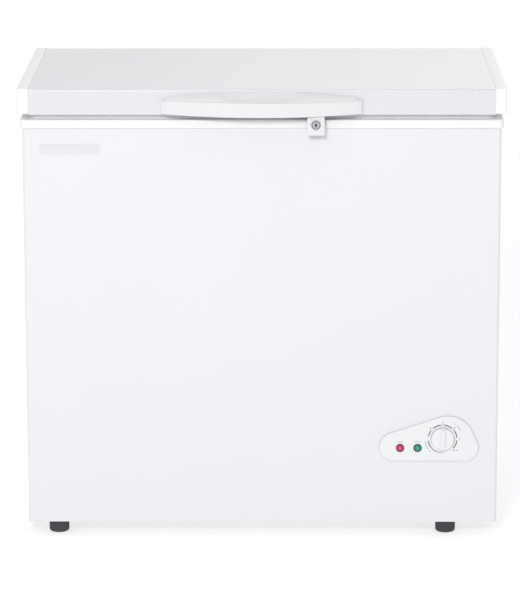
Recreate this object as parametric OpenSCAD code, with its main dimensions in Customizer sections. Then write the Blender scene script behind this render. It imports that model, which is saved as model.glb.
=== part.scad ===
// Chest freezer of about 195 litres: insulated steel cabinet, hinged lid with bow handle and lock,
// front control panel, compressor bay at the lower right, sliding wire basket.
// Frame: origin on the floor under the centre of the outline, +X to the right, -Y to the front, +Z up.

/* [Overall] */
// Width across the end caps of the lid
overall_w = 905; // [750:1:1200]
// Height from the floor to the top of the lid
overall_h = 860; // [710:1:1050]
// Depth of the lid from its front face to its rear face
lid_d = 510; // [425:1:620]

/* [Cabinet walls] */
// Overhang of the lid beyond the collar, on every side
lid_overhang = 4.5; // [3:0.5:6]
// How far the collar stands out from the steel walls
collar_overhang = 4; // [3:0.5:6]
// Thickness of the steel sheets
sheet_t = 1; // [0.8:0.1:1.2]
// Insulated wall, from its steel face to the inner face of the liner
wall_t = 55; // [45:1:70]
// Insulated floor, from its underside to the inner face of the liner
floor_t = 58; // [46:1:80]
// Thickness of the liner sheet
liner_t = 1; // [0.6:0.1:1.5]
// Radius of the liner's upright corners
liner_corner_r = 20; // [12:1:30]
// Radius of the cabinet's upright corners
cabinet_corner_r = 6; // [4:1:10]
// Width of the flange that each side wall turns in at the rear
rear_flange = 12; // [8:1:16]

/* [Collar] */
// Height of the collar's outer band
collar_h = 15.5; // [12:0.5:22]
// Wall thickness of the collar
collar_t = 2.5; // [2:0.1:3]
// Width of the basket ledge inside the collar
ledge_w = 14.5; // [12:0.5:18]
// Drop from the collar's deck to the basket ledge
ledge_drop = 14.5; // [12:0.5:20]
// Length of the lip that hangs inside the liner
lip_drop = 16; // [8:1:25]

/* [Compressor bay] */
// Inside width of the bay
bay_w = 229; // [200:1:280]
// Inside height of the bay
bay_h = 242; // [225:1:300]
// Insulation between the bay and the storage space
bay_wall_t = 46; // [38:1:60]
// Outer radius of the compressor
compressor_r = 74; // [60:1:80]
// Height of the compressor's can
compressor_h = 160; // [130:1:170]

/* [Feet] */
// Height of the feet
foot_h = 27; // [20:1:40]
// Radius of the feet
foot_r = 19; // [15:0.5:24]
// Left feet, from the left wall to the centre of the foot
foot_left_inset = 55.5; // [40:0.5:90]
// Right feet, from the right wall to the centre of the foot
foot_right_inset = 95.5; // [60:0.5:120]
// Front and rear feet, from the wall to the centre of the foot
foot_end_inset = 34; // [30:1:60]

/* [Lid] */
// Height of the lid
lid_h = 46.5; // [42:0.5:65]
// Gap between the lid and the collar
lid_gap = 12.5; // [8:0.5:14]
// Width of each end cap of the lid
cap_w = 20; // [16:0.5:28]
// How far the end caps stand proud of the lid's sheet
cap_proud = 1; // [0.6:0.1:1.5]
// Wall thickness of the end caps
cap_t = 2.5; // [2:0.1:3]
// Depth of the plug that the lid's liner forms
plug_drop = 10; // [6:1:11]
// Gap between the plug and the collar's lip
plug_clear = 16; // [12:1:30]
// Width of the gasket
gasket_w = 15; // [12:0.5:16]

/* [Handle] */
// Length of the handle
handle_w = 372; // [300:1:440]
// Reach of the handle ahead of the lid's front face
handle_reach = 35; // [29:1:45]
// Reach of the handle at its two ends
handle_end_reach = 7; // [5:0.5:10]
// Height of the handle's front face at the middle
handle_h = 27; // [22:0.5:30]
// How much lower the front face is at the ends than at the middle
handle_end_rise = 3; // [0:0.5:5]
// Height over which the handle's top slopes back to the lid
handle_brow = 15; // [12:0.5:22]
// Wall thickness of the handle
handle_t = 3.5; // [2.5:0.1:4]
// Length of each end piece of the handle
handle_cap_w = 8.5; // [6:0.5:12]
// Length of the finger scoop in the handle's top
scoop_w = 148; // [100:1:180]
// Depth of the finger scoop
scoop_depth = 6; // [3:0.5:8]

/* [Lock] */
// Distance of the lock from the middle, to the right
lock_x = 100; // [60:1:140]
// Width of the lock's housing
lock_w = 32; // [30:1:40]
// Drop of the lock's housing below the underside of the lid
lock_drop = 37.5; // [34:0.5:44]
// Depth of the barrel's centre below the underside of the lid
barrel_drop = 18; // [16:0.5:20]
// Radius of the lock's barrel
barrel_r = 8; // [7:0.1:9]
// Length of the lock's cam
cam_len = 12; // [11:0.5:13]

/* [Controls] */
// Dial centre, from the right wall
dial_inset = 103.7; // [95:0.1:125]
// Dial centre, above the underside of the cabinet
dial_rise = 163.6; // [140:0.1:190]
// Radius of the dial knob
knob_r = 21.5; // [17:0.1:24]
// Depth of the dial knob
knob_depth = 13; // [10:0.5:18]
// Thickness of the control panel's bezel
bezel_t = 3; // [2:0.5:4]
// Radius of the two indicator lenses
lens_r = 7.8; // [6:0.1:9]
// Distance between the two indicator lenses
lens_pitch = 33; // [26:0.5:36]

/* [Hinges] */
// Hinge centres, from the middle
hinge_x = 260; // [200:1:320]
// How far the hinges stand behind the lid
hinge_reach = 15; // [14:0.5:20]
// Width of a hinge
hinge_w = 60; // [50:1:80]
// Thickness of the hinge plates
hinge_t = 2.5; // [2:0.1:3]
// Radius of the hinge pin
pin_r = 4; // [3:0.1:4.5]
// Running clearance of the hinge leaf on its pin
pin_clear = 0.06; // [0.03:0.01:0.1]

/* [Basket] */
// Width of the basket
basket_w = 220; // [160:1:300]
// Depth of the basket below its rim
basket_h = 200; // [150:1:240]
// Radius of the basket's frame rods
rod_r = 2.5; // [2:0.1:3]
// Radius of the basket's mesh wires
wire_r = 1.5; // [1.2:0.1:2]

/* [Refrigeration tubes] */
// Radius of the evaporator tube
evaporator_r = 4; // [3:0.1:5]
// Radius of the condenser tube
condenser_r = 2.4; // [2:0.1:3]
// Radius of the copper lines in the bay
line_r = 3; // [2.5:0.1:4]

/* [Hidden] */
$fn = 64;

// Colours
white_steel = [0.93, 0.94, 0.95];
white_plastic = [0.96, 0.96, 0.96];
liner_white = [0.90, 0.91, 0.92];
foam_cream = [0.93, 0.86, 0.66];
zinc = [0.70, 0.71, 0.72];
copper = [0.72, 0.45, 0.30];
black_enamel = [0.10, 0.10, 0.11];
dark_rubber = [0.27, 0.28, 0.30];
grey_rubber = [0.62, 0.63, 0.65];

// Levels
base_z = foot_h;
lid_bottom = overall_h - lid_h;
collar_top = lid_bottom - lid_gap;
collar_bottom = collar_top - collar_h;
wall_top = collar_top - collar_t;
ledge_top = collar_top - ledge_drop;
liner_top = ledge_top - collar_t;
liner_floor = base_z + floor_t;
bay_roof = base_z + sheet_t + bay_h;
step_top = bay_roof + bay_wall_t;

// Outlines in plan
overall_d = handle_reach + lid_d + hinge_reach;
lid_front = handle_reach - overall_d / 2;
lid_rear = lid_front + lid_d;
mid_y = (lid_front + lid_rear) / 2;
body_inset = lid_overhang + collar_overhang;
body_w = overall_w - 2 * body_inset;
body_d = lid_d - 2 * body_inset;
body_front = mid_y - body_d / 2;
body_rear = mid_y + body_d / 2;
body_right = body_w / 2;
rear_face = body_rear - sheet_t;
collar_front = body_front - collar_overhang;
bay_left = body_right - sheet_t - bay_w;
step_x = bay_left - bay_wall_t;
ledge_inset = wall_t - ledge_w;
lip_gap = 0.3;
lip_inset = wall_t + lip_gap + collar_t;

// Small clearances that repeat
slack = 0.5;
touch = 0.3;
over = 1;

module rounded_rect(w, d, r) {
    square([w - 2 * r, d], center = true);
    square([w, d - 2 * r], center = true);
    for (x = [-1, 1], y = [-1, 1]) translate([x * (w / 2 - r), y * (d / 2 - r)]) circle(r);
}

// A slab over the cabinet's plan, inset from the steel faces
module plan_slab(inset, r, z0, z1) {
    translate([0, mid_y, z0]) linear_extrude(z1 - z0)
        rounded_rect(body_w - 2 * inset, body_d - 2 * inset, r);
}

module plan_ring(outer, outer_r, inner, inner_r, z0, z1) {
    difference() {
        plan_slab(outer, outer_r, z0, z1);
        plan_slab(inner, inner_r, z0 - over, z1 + over);
    }
}

// A box given by its two corners
module block(low, high) {
    translate(low) cube(high - low);
}

// A cylinder that lies along +Y from a point
module along_y(at, r, length) {
    translate(at) rotate([-90, 0, 0]) cylinder(r = r, h = length);
}

module along_x(at, r, length) {
    translate(at) rotate([0, 90, 0]) cylinder(r = r, h = length);
}

// Swept tubes: a ring of points about each point of a path
function unit(v) = v / norm(v);
function heading(p, i) = unit(p[min(i + 1, len(p) - 1)] - p[max(i - 1, 0)]);
function side_vectors(p, i, last) =
    i >= len(p) ? [] :
    let (t = heading(p, i), s = unit(last - (last * t) * t)) concat([s], side_vectors(p, i + 1, s));

module tube(path, r, sides = 8) {
    n = len(path);
    start = abs(heading(path, 0).z) < 0.9 ? [0, 0, 1] : [1, 0, 0];
    side = side_vectors(path, 0, start);
    rings = [
        for (i = [0:n - 1]) let (a = side[i], b = cross(heading(path, i), a))
            for (k = [0:sides - 1]) path[i] + r * (a * cos(360 * k / sides) + b * sin(360 * k / sides))
    ];
    walls = [
        for (i = [0:n - 2], k = [0:sides - 1])
            let (l = (k + 1) % sides) [i * sides + k, (i + 1) * sides + k, (i + 1) * sides + l, i * sides + l]
    ];
    first = [for (k = [0:sides - 1]) k];
    last = [for (k = [sides - 1:-1:0]) (n - 1) * sides + k];
    polyhedron(points = rings, faces = concat([first], walls, [last]));
}

// Rounds the inner corners of a path with short curves
function bend(a, b, c, r, steps) =
    let (p = b + r * unit(a - b), q = b + r * unit(c - b))
    [for (i = [0:steps]) let (t = i / steps) (1 - t) * (1 - t) * p + 2 * t * (1 - t) * b + t * t * q];
function rounded_path(p, r, steps = 4) =
    let (corners = [for (i = [1:len(p) - 2]) each bend(p[i - 1], p[i], p[i + 1], r, steps)])
    concat([p[0]], corners, [p[len(p) - 1]]);

// The tube wraps three walls back and forth, one level above the other
function wrap_corners(half, front, rear, z0, pitch, levels) = [
    for (i = [0:levels - 1]) let (s = i % 2 == 0 ? 1 : -1, z = z0 + i * pitch)
        each [[s * half, rear, z], [s * half, front, z], [-s * half, front, z], [-s * half, rear, z]]
];

// ---------------------------------------------------------------- cabinet

lens_offset = 47.1;
lens_fall = 17.7;
dial_x = body_right - dial_inset;
dial_z = base_z + dial_rise;
run_x = dial_x - lens_offset;
power_x = run_x - lens_pitch;
lens_z = dial_z - lens_fall;
lens_cut = lens_r + 2;
grille_y = [mid_y - 10, mid_y + 190];
grille_z = [base_z + 35, base_z + 195];
grille_border = 12;
drain_x = -body_right + 110;
drain_y = body_front + 140;
drain_z = base_z + 26;
drain_r = 9;
drain_wall = 1.5;

module cabinet_wrapper() {
    color(white_steel) difference() {
        plan_ring(0, cabinet_corner_r, sheet_t, cabinet_corner_r - sheet_t, base_z, wall_top - slack);
        block([-body_right + rear_flange, body_rear - 2 * cabinet_corner_r, base_z - over],
              [body_right - rear_flange, body_rear + over, wall_top]);
        block([power_x - lens_cut, body_front - over, lens_z - lens_r],
              [dial_x, body_front + sheet_t + over, lens_z + lens_cut]);
        block([dial_x - knob_r, body_front - over, lens_z - lens_r],
              [dial_x + knob_r, body_front + sheet_t + over, dial_z + knob_r - 4]);
        block([body_right - 2 * sheet_t, grille_y[0] + grille_border, grille_z[0] + grille_border],
              [body_right + over, grille_y[1] - grille_border, grille_z[1] - grille_border]);
        along_x([-body_right - over, drain_y, drain_z], drain_r + drain_wall, 3 * over);
    }
}

rear_cover_x = [bay_left + 4, body_right - rear_flange - 1];
rear_cover_z = [base_z + 6, bay_roof - 6];
gland_x = rear_cover_x[1] - 26;
gland_z = rear_cover_z[0] + 24;

module rear_panel() {
    color(white_steel) difference() {
        block([-body_right + cabinet_corner_r, rear_face - sheet_t, base_z + sheet_t],
              [body_right - cabinet_corner_r, rear_face, wall_top - slack]);
        block([rear_cover_x[0] + 10, rear_face - 2 * sheet_t, rear_cover_z[0] + 10],
              [rear_cover_x[1] - 10, rear_face + over, rear_cover_z[1] - 10]);
        for (s = [-1, 1]) bracket_screw_places(s) along_y([0, rear_face - 2 * sheet_t, 0], screw_r + 0.1, 4);
    }
}

foot_x = [-body_right + foot_left_inset, body_right - foot_right_inset];
foot_y = [body_front + foot_end_inset, body_rear - foot_end_inset];
foot_screw_r = 3;
foot_nut_r = 6;

module bottom_panel() {
    color(zinc) difference() {
        intersection() {
            plan_slab(sheet_t + touch, cabinet_corner_r - sheet_t, base_z, base_z + sheet_t);
            block([-body_w, body_front - over, base_z - over], [body_w, rear_face, base_z + 2 * sheet_t]);
        }
        for (x = foot_x, y = foot_y) translate([x, y, base_z - over]) cylinder(r = foot_screw_r + 0.2, h = 4);
    }
}

// The space inside the liner, or that space grown by a thickness
module tub_space(grow, top) {
    difference() {
        plan_slab(wall_t - grow, liner_corner_r + grow, liner_floor - grow, top);
        block([step_x + grow, body_front, base_z], [body_right, body_rear, step_top - grow]);
    }
}

module inner_liner() {
    color(liner_white) difference() {
        tub_space(liner_t, liner_top - touch);
        tub_space(0, liner_top + over);
        translate([drain_x, drain_y, liner_floor - 3 * liner_t]) cylinder(r = drain_r + 0.1, h = 4 * liner_t);
    }
}

module insulation_foam() {
    color(foam_cream) difference() {
        intersection() {
            plan_slab(sheet_t, cabinet_corner_r - sheet_t, base_z + sheet_t, wall_top - slack);
            block([-body_w, body_front - over, base_z], [body_w, rear_face - sheet_t, overall_h]);
        }
        plan_slab(ledge_inset, liner_corner_r + wall_t - ledge_inset, liner_top - touch, overall_h);
        tub_space(liner_t, overall_h);
        block([bay_left - sheet_t, body_front - over, base_z],
              [body_w, body_rear + over, bay_roof + sheet_t]);
        translate([drain_x, drain_y, base_z]) cylinder(r = drain_r + drain_wall, h = floor_t + over);
        along_x([-body_right - over, drain_y, drain_z], drain_r + drain_wall, drain_x + body_right + over);
        for (x = foot_x, y = foot_y) translate([x, y, base_z]) cylinder(r = foot_nut_r + 1, h = 10);
    }
}

module top_collar() {
    inner_r = liner_corner_r - lip_gap - collar_t;
    ledge_r = liner_corner_r + ledge_w;
    outer_r = cabinet_corner_r + collar_overhang;
    color(white_plastic) union() {
        plan_ring(-collar_overhang, outer_r, collar_t - collar_overhang, outer_r - collar_t,
                  collar_bottom, collar_top);
        plan_ring(-collar_overhang + over, outer_r - over, ledge_inset + over, ledge_r - over,
                  wall_top, collar_top);
        plan_ring(ledge_inset, ledge_r, ledge_inset + collar_t, ledge_r - collar_t, liner_top, collar_top);
        plan_ring(ledge_inset + over, ledge_r - over, lip_inset - over, inner_r + over,
                  liner_top, ledge_top);
        plan_ring(lip_inset - collar_t, inner_r + collar_t, lip_inset, inner_r,
                  liner_top - lip_drop, ledge_top);
    }
}

module bay_cover() {
    y0 = body_front + sheet_t + touch;
    y1 = rear_face - sheet_t - touch;
    color(zinc) intersection() {
        plan_slab(sheet_t + touch, cabinet_corner_r - sheet_t, base_z, wall_top);
        union() {
            block([bay_left - sheet_t, y0, base_z + sheet_t], [bay_left, y1, bay_roof + sheet_t]);
            block([bay_left - sheet_t, y0, bay_roof], [body_right, y1, bay_roof + sheet_t]);
        }
    }
}

module evaporator_tube() {
    half = body_right - wall_t + liner_t + evaporator_r + touch;
    front = body_front + wall_t - liner_t - evaporator_r - touch;
    rear = body_rear - wall_t - liner_corner_r - 30;
    levels = 6;
    z0 = step_top + 20;
    pitch = (liner_top - 40 - z0) / (levels - 1);
    color(zinc) tube(rounded_path(wrap_corners(half, front, rear, z0, pitch, levels), 25), evaporator_r);
}

module condenser_tube() {
    half = body_right - sheet_t - condenser_r - touch;
    front = body_front + sheet_t + condenser_r + touch;
    rear = rear_face - 60;
    levels = 6;
    z0 = bay_roof + 40;
    pitch = (wall_top - 40 - z0) / (levels - 1);
    color(copper) tube(rounded_path(wrap_corners(half, front, rear, z0, pitch, levels), 15), condenser_r);
}

module drain_tube() {
    outer = drain_r + drain_wall;
    color(white_plastic) difference() {
        union() {
            translate([drain_x, drain_y, drain_z - outer])
                cylinder(r = outer, h = liner_floor - liner_t - touch - drain_z + outer);
            along_x([-body_right, drain_y, drain_z], outer, drain_x + body_right);
        }
        translate([drain_x, drain_y, drain_z]) cylinder(r = drain_r, h = floor_t);
        along_x([-body_right - over, drain_y, drain_z], drain_r, drain_x + body_right + over);
    }
}

module drain_plug() {
    color(grey_rubber) translate([drain_x, drain_y, 0]) {
        translate([0, 0, liner_floor + touch]) cylinder(r = drain_r + 5, h = 3);
        translate([0, 0, liner_floor - 12]) cylinder(r = drain_r - 0.4, h = 14);
        translate([0, 0, liner_floor + 3]) cylinder(r = 3, h = 9);
    }
}

module drain_cap() {
    color(white_plastic) {
        along_x([-body_right - 3.2, drain_y, drain_z], drain_r + drain_wall + 2.5, 3);
        along_x([-body_right - 1, drain_y, drain_z], drain_r - 0.4, 15);
    }
}

// ---------------------------------------------------------------- feet

module foot(x, y) {
    edge = 6;
    seat = 9;
    translate([x, y, 0]) color(dark_rubber) difference() {
        union() {
            translate([0, 0, edge]) cylinder(r = foot_r, h = foot_h - edge);
            cylinder(r = foot_r - edge, h = edge + over);
            translate([0, 0, edge]) rotate_extrude() translate([foot_r - edge, 0]) circle(edge);
        }
        translate([0, 0, -over]) cylinder(r = seat, h = 8);
        cylinder(r = foot_screw_r + 0.2, h = foot_h + over);
    }
}

module foot_screws() {
    color(zinc) for (x = foot_x, y = foot_y) translate([x, y, 0]) {
        translate([0, 0, 3]) cylinder(r = 6, h = 4);
        translate([0, 0, 6]) cylinder(r = foot_screw_r, h = foot_h + 8 - 6);
        translate([0, 0, base_z + sheet_t]) difference() {
            cylinder(r = foot_nut_r, h = 5, $fn = 6);
            translate([0, 0, -over]) cylinder(r = foot_screw_r - 0.01, h = 7);
        }
    }
}

// ---------------------------------------------------------------- compressor bay

comp_x = bay_left + bay_w / 2;
comp_y = mid_y + 110;
tray_z = base_z + sheet_t;
tray_t = 2;
grommet_h = 16;
grommet_dx = 72;
grommet_dy = 68;
mount_z = tray_z + tray_t + grommet_h;
mount_t = 3;
can_z = mount_z + mount_t;
can_dome = 26;

module grommet_places() {
    for (x = [-1, 1], y = [-1, 1]) translate([comp_x + x * grommet_dx, comp_y + y * grommet_dy, 0]) children();
}

module compressor_tray() {
    color(zinc) difference() {
        union() {
            block([comp_x - 95, comp_y - 90, tray_z], [comp_x + 95, comp_y + 90, tray_z + tray_t]);
            for (y = [-90, 90 - tray_t])
                block([comp_x - 95, comp_y + y, tray_z], [comp_x + 95, comp_y + y + tray_t, tray_z + 12]);
        }
        grommet_places() translate([0, 0, tray_z - over]) cylinder(r = 3.2, h = 4);
    }
}

module compressor_grommets() {
    color(dark_rubber) grommet_places() difference() {
        union() {
            translate([0, 0, tray_z + tray_t]) cylinder(r = 11, h = grommet_h * 0.45);
            translate([0, 0, tray_z + tray_t]) cylinder(r = 9, h = grommet_h);
        }
        translate([0, 0, tray_z]) cylinder(r = 3.2, h = grommet_h + 4);
    }
}

module compressor_mount_plate() {
    arm = 12;
    color(black_enamel) difference() {
        union() {
            block([comp_x - 40, comp_y - 60, mount_z], [comp_x + 40, comp_y + 60, can_z]);
            for (y = [-1, 1]) translate([comp_x, comp_y + y * grommet_dy, mount_z]) linear_extrude(mount_t)
                square([2 * grommet_dx + 2 * arm, 2 * arm], center = true);
        }
        grommet_places() translate([0, 0, mount_z - over]) cylinder(r = 3.2, h = 5);
    }
}

module compressor_bolts() {
    color(zinc) grommet_places() {
        translate([0, 0, tray_z]) cylinder(r = 3, h = can_z - tray_z + 2);
        translate([0, 0, can_z]) cylinder(r = 8, h = 1.5);
        translate([0, 0, can_z + 1.5]) cylinder(r = 5.5, h = 5, $fn = 6);
    }
}

module compressor_can() {
    color(black_enamel) translate([comp_x, comp_y, can_z]) {
        translate([0, 0, 0.4 * can_dome]) cylinder(r = compressor_r, h = compressor_h - 0.9 * can_dome);
        translate([0, 0, compressor_h * 0.62]) cylinder(r = compressor_r + 2.5, h = 4);
        cylinder(r1 = compressor_r - 14, r2 = compressor_r, h = 0.4 * can_dome);
        translate([0, 0, compressor_h - can_dome / 2])
            cylinder(r1 = compressor_r, r2 = compressor_r - can_dome, h = can_dome / 2);
    }
}

relay_d = 26;

module start_relay_box() {
    x0 = comp_x - 30;
    z0 = can_z + 34;
    color(black_enamel) difference() {
        block([x0, comp_y - compressor_r - relay_d, z0], [x0 + 60, comp_y - compressor_r - touch, z0 + 58]);
        for (z = [z0 + 14, z0 + 44]) along_y([comp_x, comp_y - compressor_r - relay_d - over, z], 2.6, 12);
    }
}

drier_x = bay_left + 30;
drier_y = comp_y - 150;
drier_z = [base_z + 70, base_z + 170];

module filter_drier() {
    color(copper) translate([drier_x, drier_y, 0]) {
        translate([0, 0, drier_z[0] + 12]) cylinder(r = 9, h = drier_z[1] - drier_z[0] - 24);
        translate([0, 0, drier_z[0]]) cylinder(r1 = line_r, r2 = 9, h = 12);
        translate([0, 0, drier_z[1] - 12]) cylinder(r1 = 9, r2 = line_r, h = 12);
    }
}

// The discharge line climbs from the can's lid, crosses the bay and drops to the drier
module discharge_line() {
    top = bay_roof - 14;
    start = [comp_x + 20, comp_y - 20, can_z + compressor_h];
    color(copper) tube(rounded_path([
        start, [start.x, start.y, top], [start.x, drier_y, top],
        [drier_x, drier_y, top], [drier_x, drier_y, drier_z[1]]
    ], 11), line_r);
}

// The suction line leaves the bay's left wall and enters the can's lid
module suction_line() {
    z = bay_roof - 26;
    entry = [comp_x - 22, comp_y + 18, can_z + compressor_h];
    color(copper) tube(rounded_path([
        [bay_left, entry.y + 60, z - 30],
        [bay_left + 24, entry.y + 60, z - 30],
        [bay_left + 24, entry.y + 60, z],
        [entry.x, entry.y + 60, z], [entry.x, entry.y, z], entry
    ], 9), line_r);
}

module slots(count, length, height) {
    pitch = 1.6 * height;
    for (i = [0:count - 1]) translate([0, (i - (count - 1) / 2) * pitch])
        square([length, height], center = true);
}

screw_r = 2.4;
module pan_screw(shank) {
    cylinder(r = 4.4, h = 2);
    translate([0, 0, -shank]) cylinder(r = screw_r, h = shank + over);
}

grille_t = 3;
grille_mid = [(grille_y[0] + grille_y[1]) / 2, (grille_z[0] + grille_z[1]) / 2];
grille_size = [grille_y[1] - grille_y[0], grille_z[1] - grille_z[0]];

module grille_screw_places() {
    for (y = [-1, 1], z = [-1, 1])
        translate([
            body_right,
            grille_mid[0] + y * (grille_size[0] - grille_border) / 2,
            grille_mid[1] + z * (grille_size[1] - grille_border) / 2
        ]) rotate([0, 90, 0]) children();
}

module side_grille() {
    color(white_plastic) difference() {
        translate([body_right, grille_mid[0], grille_mid[1]]) rotate([90, 0, 90]) linear_extrude(grille_t)
            difference() {
                rounded_rect(grille_size[0], grille_size[1], 6);
                slots(11, grille_size[0] - 2 * grille_border - 10, 7);
            }
        grille_screw_places() translate([0, 0, -over]) cylinder(r = screw_r + 0.1, h = 6);
    }
}

module rear_cover_screw_places() {
    for (x = rear_cover_x, z = rear_cover_z)
        translate([x + (x == rear_cover_x[0] ? 5 : -5), rear_face + sheet_t,
                   z + (z == rear_cover_z[0] ? 5 : -5)])
            rotate([-90, 0, 0]) children();
}

module rear_vent_cover() {
    mid = [(rear_cover_x[0] + rear_cover_x[1]) / 2, (rear_cover_z[0] + rear_cover_z[1]) / 2 + 20];
    color(white_steel) difference() {
        block([rear_cover_x[0], rear_face, rear_cover_z[0]],
              [rear_cover_x[1], rear_face + sheet_t, rear_cover_z[1]]);
        translate([mid[0], rear_face + 2 * sheet_t, mid[1]]) rotate([90, 0, 0])
            linear_extrude(3 * sheet_t) slots(11, 150, 8);
        along_y([gland_x, rear_face - over, gland_z], 8, 4);
        rear_cover_screw_places() translate([0, 0, -2]) cylinder(r = screw_r + 0.1, h = 4);
    }
}

// Pan screws of the side grille and the rear vent cover
module cover_screws() {
    color(zinc) {
        grille_screw_places() translate([0, 0, grille_t]) pan_screw(grille_t);
        rear_cover_screw_places() pan_screw(sheet_t);
    }
}

module cord_gland() {
    color(black_enamel) difference() {
        union() {
            along_y([gland_x, rear_face - 6, gland_z], 7.8, 6 + sheet_t + 1);
            along_y([gland_x, rear_face + sheet_t, gland_z], 11, 3);
            along_y([gland_x, rear_face - 6, gland_z], 10, 5);
        }
        along_y([gland_x, rear_face - 10, gland_z], 4, 20);
    }
}

// ---------------------------------------------------------------- controls

// Rounded triangle of the control panel: two small corners and the upper part of a big one
module bezel_outline(grow = 0) {
    hull() {
        translate([dial_x - 91.8, dial_z - 16.1]) circle(27.5 + grow, $fn = 96);
        translate([dial_x + 42.4, dial_z - 18]) circle(25.6 + grow, $fn = 96);
        intersection() {
            translate([dial_x + 10.2, dial_z - 7.1]) circle(51 + grow, $fn = 128);
            translate([dial_x - 100, dial_z - 7.1]) square([200, 100]);
        }
    }
}

module front_plate(t) {
    translate([0, body_front, 0]) rotate([90, 0, 0]) linear_extrude(t) children();
}

module control_bezel() {
    color(white_plastic) difference() {
        union() {
            front_plate(bezel_t - 1) bezel_outline();
            front_plate(bezel_t) bezel_outline(-1.2);
            along_y([dial_x, body_front - bezel_t - 1.2, dial_z], knob_r + 2.4, 2);
        }
        along_y([dial_x, body_front - bezel_t - 3, dial_z], knob_r + 1, 3 + dial_recess);
        along_y([dial_x, body_front - 10, dial_z], 5, 20);
        for (x = [run_x, power_x]) along_y([x, body_front - 10, lens_z], lens_r - 1.4, 20);
    }
}

module lens(x, shade) {
    front = body_front - bezel_t;
    color(shade) {
        along_y([x, front - 1.6, lens_z], lens_r, 1.6);
        along_y([x, front - 2.4, lens_z], lens_r - 2, 1);
        along_y([x, front - 0.5, lens_z], lens_r - 1.6, 6);
    }
}

module indicator_lamps() {
    color(white_plastic) for (x = [run_x, power_x]) {
        along_y([x, body_front - bezel_t + 5.8, lens_z], lens_r - 2, 22);
        along_y([x, body_front + 10, lens_z], lens_r, 4);
    }
}

shaft_r = 3;
dial_recess = 1;
knob_tilt = 5;
shaft_clear = 0.05;

module thermostat_body() {
    y0 = body_front + sheet_t + 2;
    color(zinc) difference() {
        union() {
            block([dial_x - 22, y0 + 4, dial_z - 20], [dial_x + 22, y0 + 34, dial_z + 20]);
            along_y([dial_x, y0, dial_z], 8, 6);
        }
        along_y([dial_x, y0 - over, dial_z], shaft_r + shaft_clear, 16);
    }
}

module thermostat_shaft() {
    color(white_plastic) along_y([dial_x, body_front - bezel_t - 8, dial_z], shaft_r, 23);
}

module thermostat_knob() {
    back = body_front - bezel_t + dial_recess - touch;
    rim = 8;
    color(white_plastic) difference() {
        union() {
            along_y([dial_x, back - rim, dial_z], knob_r, rim);
            along_y([dial_x, back - rim - 1, dial_z], knob_r - 1, 2);
            intersection() {
                translate([dial_x, back - rim, dial_z]) rotate([0, knob_tilt, 0])
                    block([-4.5, rim - knob_depth, -knob_r + 1.5], [4.5, over, knob_r - 1.5]);
                along_y([dial_x, back - knob_depth, dial_z], knob_r - 1.5, knob_depth);
            }
        }
        along_y([dial_x, body_front - bezel_t - 8, dial_z], shaft_r, 20);
        along_y([dial_x, back - 3, dial_z], knob_r - 4, 4);
    }
}

badge_w = 112;
badge_h = 18.5;
badge_left = 31;
badge_below = 40.5;

module badge_plate() {
    color(liner_white) front_plate(1.2)
        translate([-body_right + badge_left + badge_w / 2, collar_bottom - badge_below])
            rounded_rect(badge_w, badge_h, 5);
}

// ---------------------------------------------------------------- lid

sheet_front = lid_front + cap_proud;
sheet_rear = lid_rear - cap_proud;
sheet_top = overall_h - cap_proud;
sheet_end = overall_w / 2 - cap_w;
lid_return = 13;
lid_edge_r = 3;
lid_liner_t = 1.5;
tongue_len = 8;
tongue_t = 2;

// Profile of the lid's sheet, drawn with Y as x and Z as y
module lid_profile(inset) {
    r = lid_edge_r - inset;
    x0 = sheet_front + inset;
    x1 = sheet_rear - inset;
    y0 = lid_bottom + inset;
    y1 = sheet_top - inset;
    translate([x0, y0]) square([x1 - x0, y1 - y0 - r]);
    translate([x0 + r, y0]) square([x1 - x0 - 2 * r, y1 - y0]);
    for (x = [x0 + r, x1 - r]) translate([x, y1 - r]) circle(r);
}

// Extrudes a profile drawn with Y as x and Z as y, from x0 to x1
module across(x0, x1) {
    translate([x0, 0, 0]) rotate([90, 0, 90]) linear_extrude(x1 - x0) children();
}

module lid_top_panel() {
    color(white_steel) across(-sheet_end, sheet_end) difference() {
        lid_profile(0);
        lid_profile(sheet_t);
        translate([sheet_front + lid_return, lid_bottom - over])
            square([sheet_rear - sheet_front - 2 * lid_return, 3]);
    }
}

module lid_end_cap_right() {
    x1 = overall_w / 2;
    r = 3.5;
    color(white_plastic) difference() {
        union() {
            translate([0, 0, lid_bottom]) linear_extrude(lid_h) {
                translate([sheet_end, lid_front]) square([cap_w - r, lid_d]);
                translate([sheet_end, lid_front + r]) square([cap_w, lid_d - 2 * r]);
                for (y = [lid_front + r, lid_rear - r]) translate([x1 - r, y]) circle(r);
            }
            difference() {
                inner = sheet_t + 0.1;
                across(sheet_end - tongue_len, sheet_end + over) difference() {
                    lid_profile(inner);
                    lid_profile(inner + tongue_t - 0.2);
                }
                block([0, sheet_front + lid_return - over, lid_bottom],
                      [overall_w, sheet_rear - lid_return + over, lid_bottom + 10]);
            }
        }
        block([sheet_end - over, lid_front + cap_t, lid_bottom + cap_t],
              [x1 - cap_t, lid_rear - cap_t, overall_h - cap_t]);
    }
}

module lid_end_cap_left() {
    mirror([1, 0, 0]) lid_end_cap_right();
}

plug_inset = lip_inset + plug_clear;
plug_r = 12;
plug_z = lid_bottom - lid_liner_t - plug_drop;

module lid_inner_liner() {
    rim_z = lid_bottom - lid_liner_t;
    color(liner_white) difference() {
        union() {
            block([-sheet_end + touch, sheet_front + touch, rim_z],
                  [sheet_end - touch, sheet_rear - touch, lid_bottom]);
            plan_slab(plug_inset, plug_r, plug_z, rim_z + over);
        }
        plan_slab(plug_inset + lid_liner_t, plug_r - lid_liner_t, plug_z + lid_liner_t, lid_bottom + over);
    }
}

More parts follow.
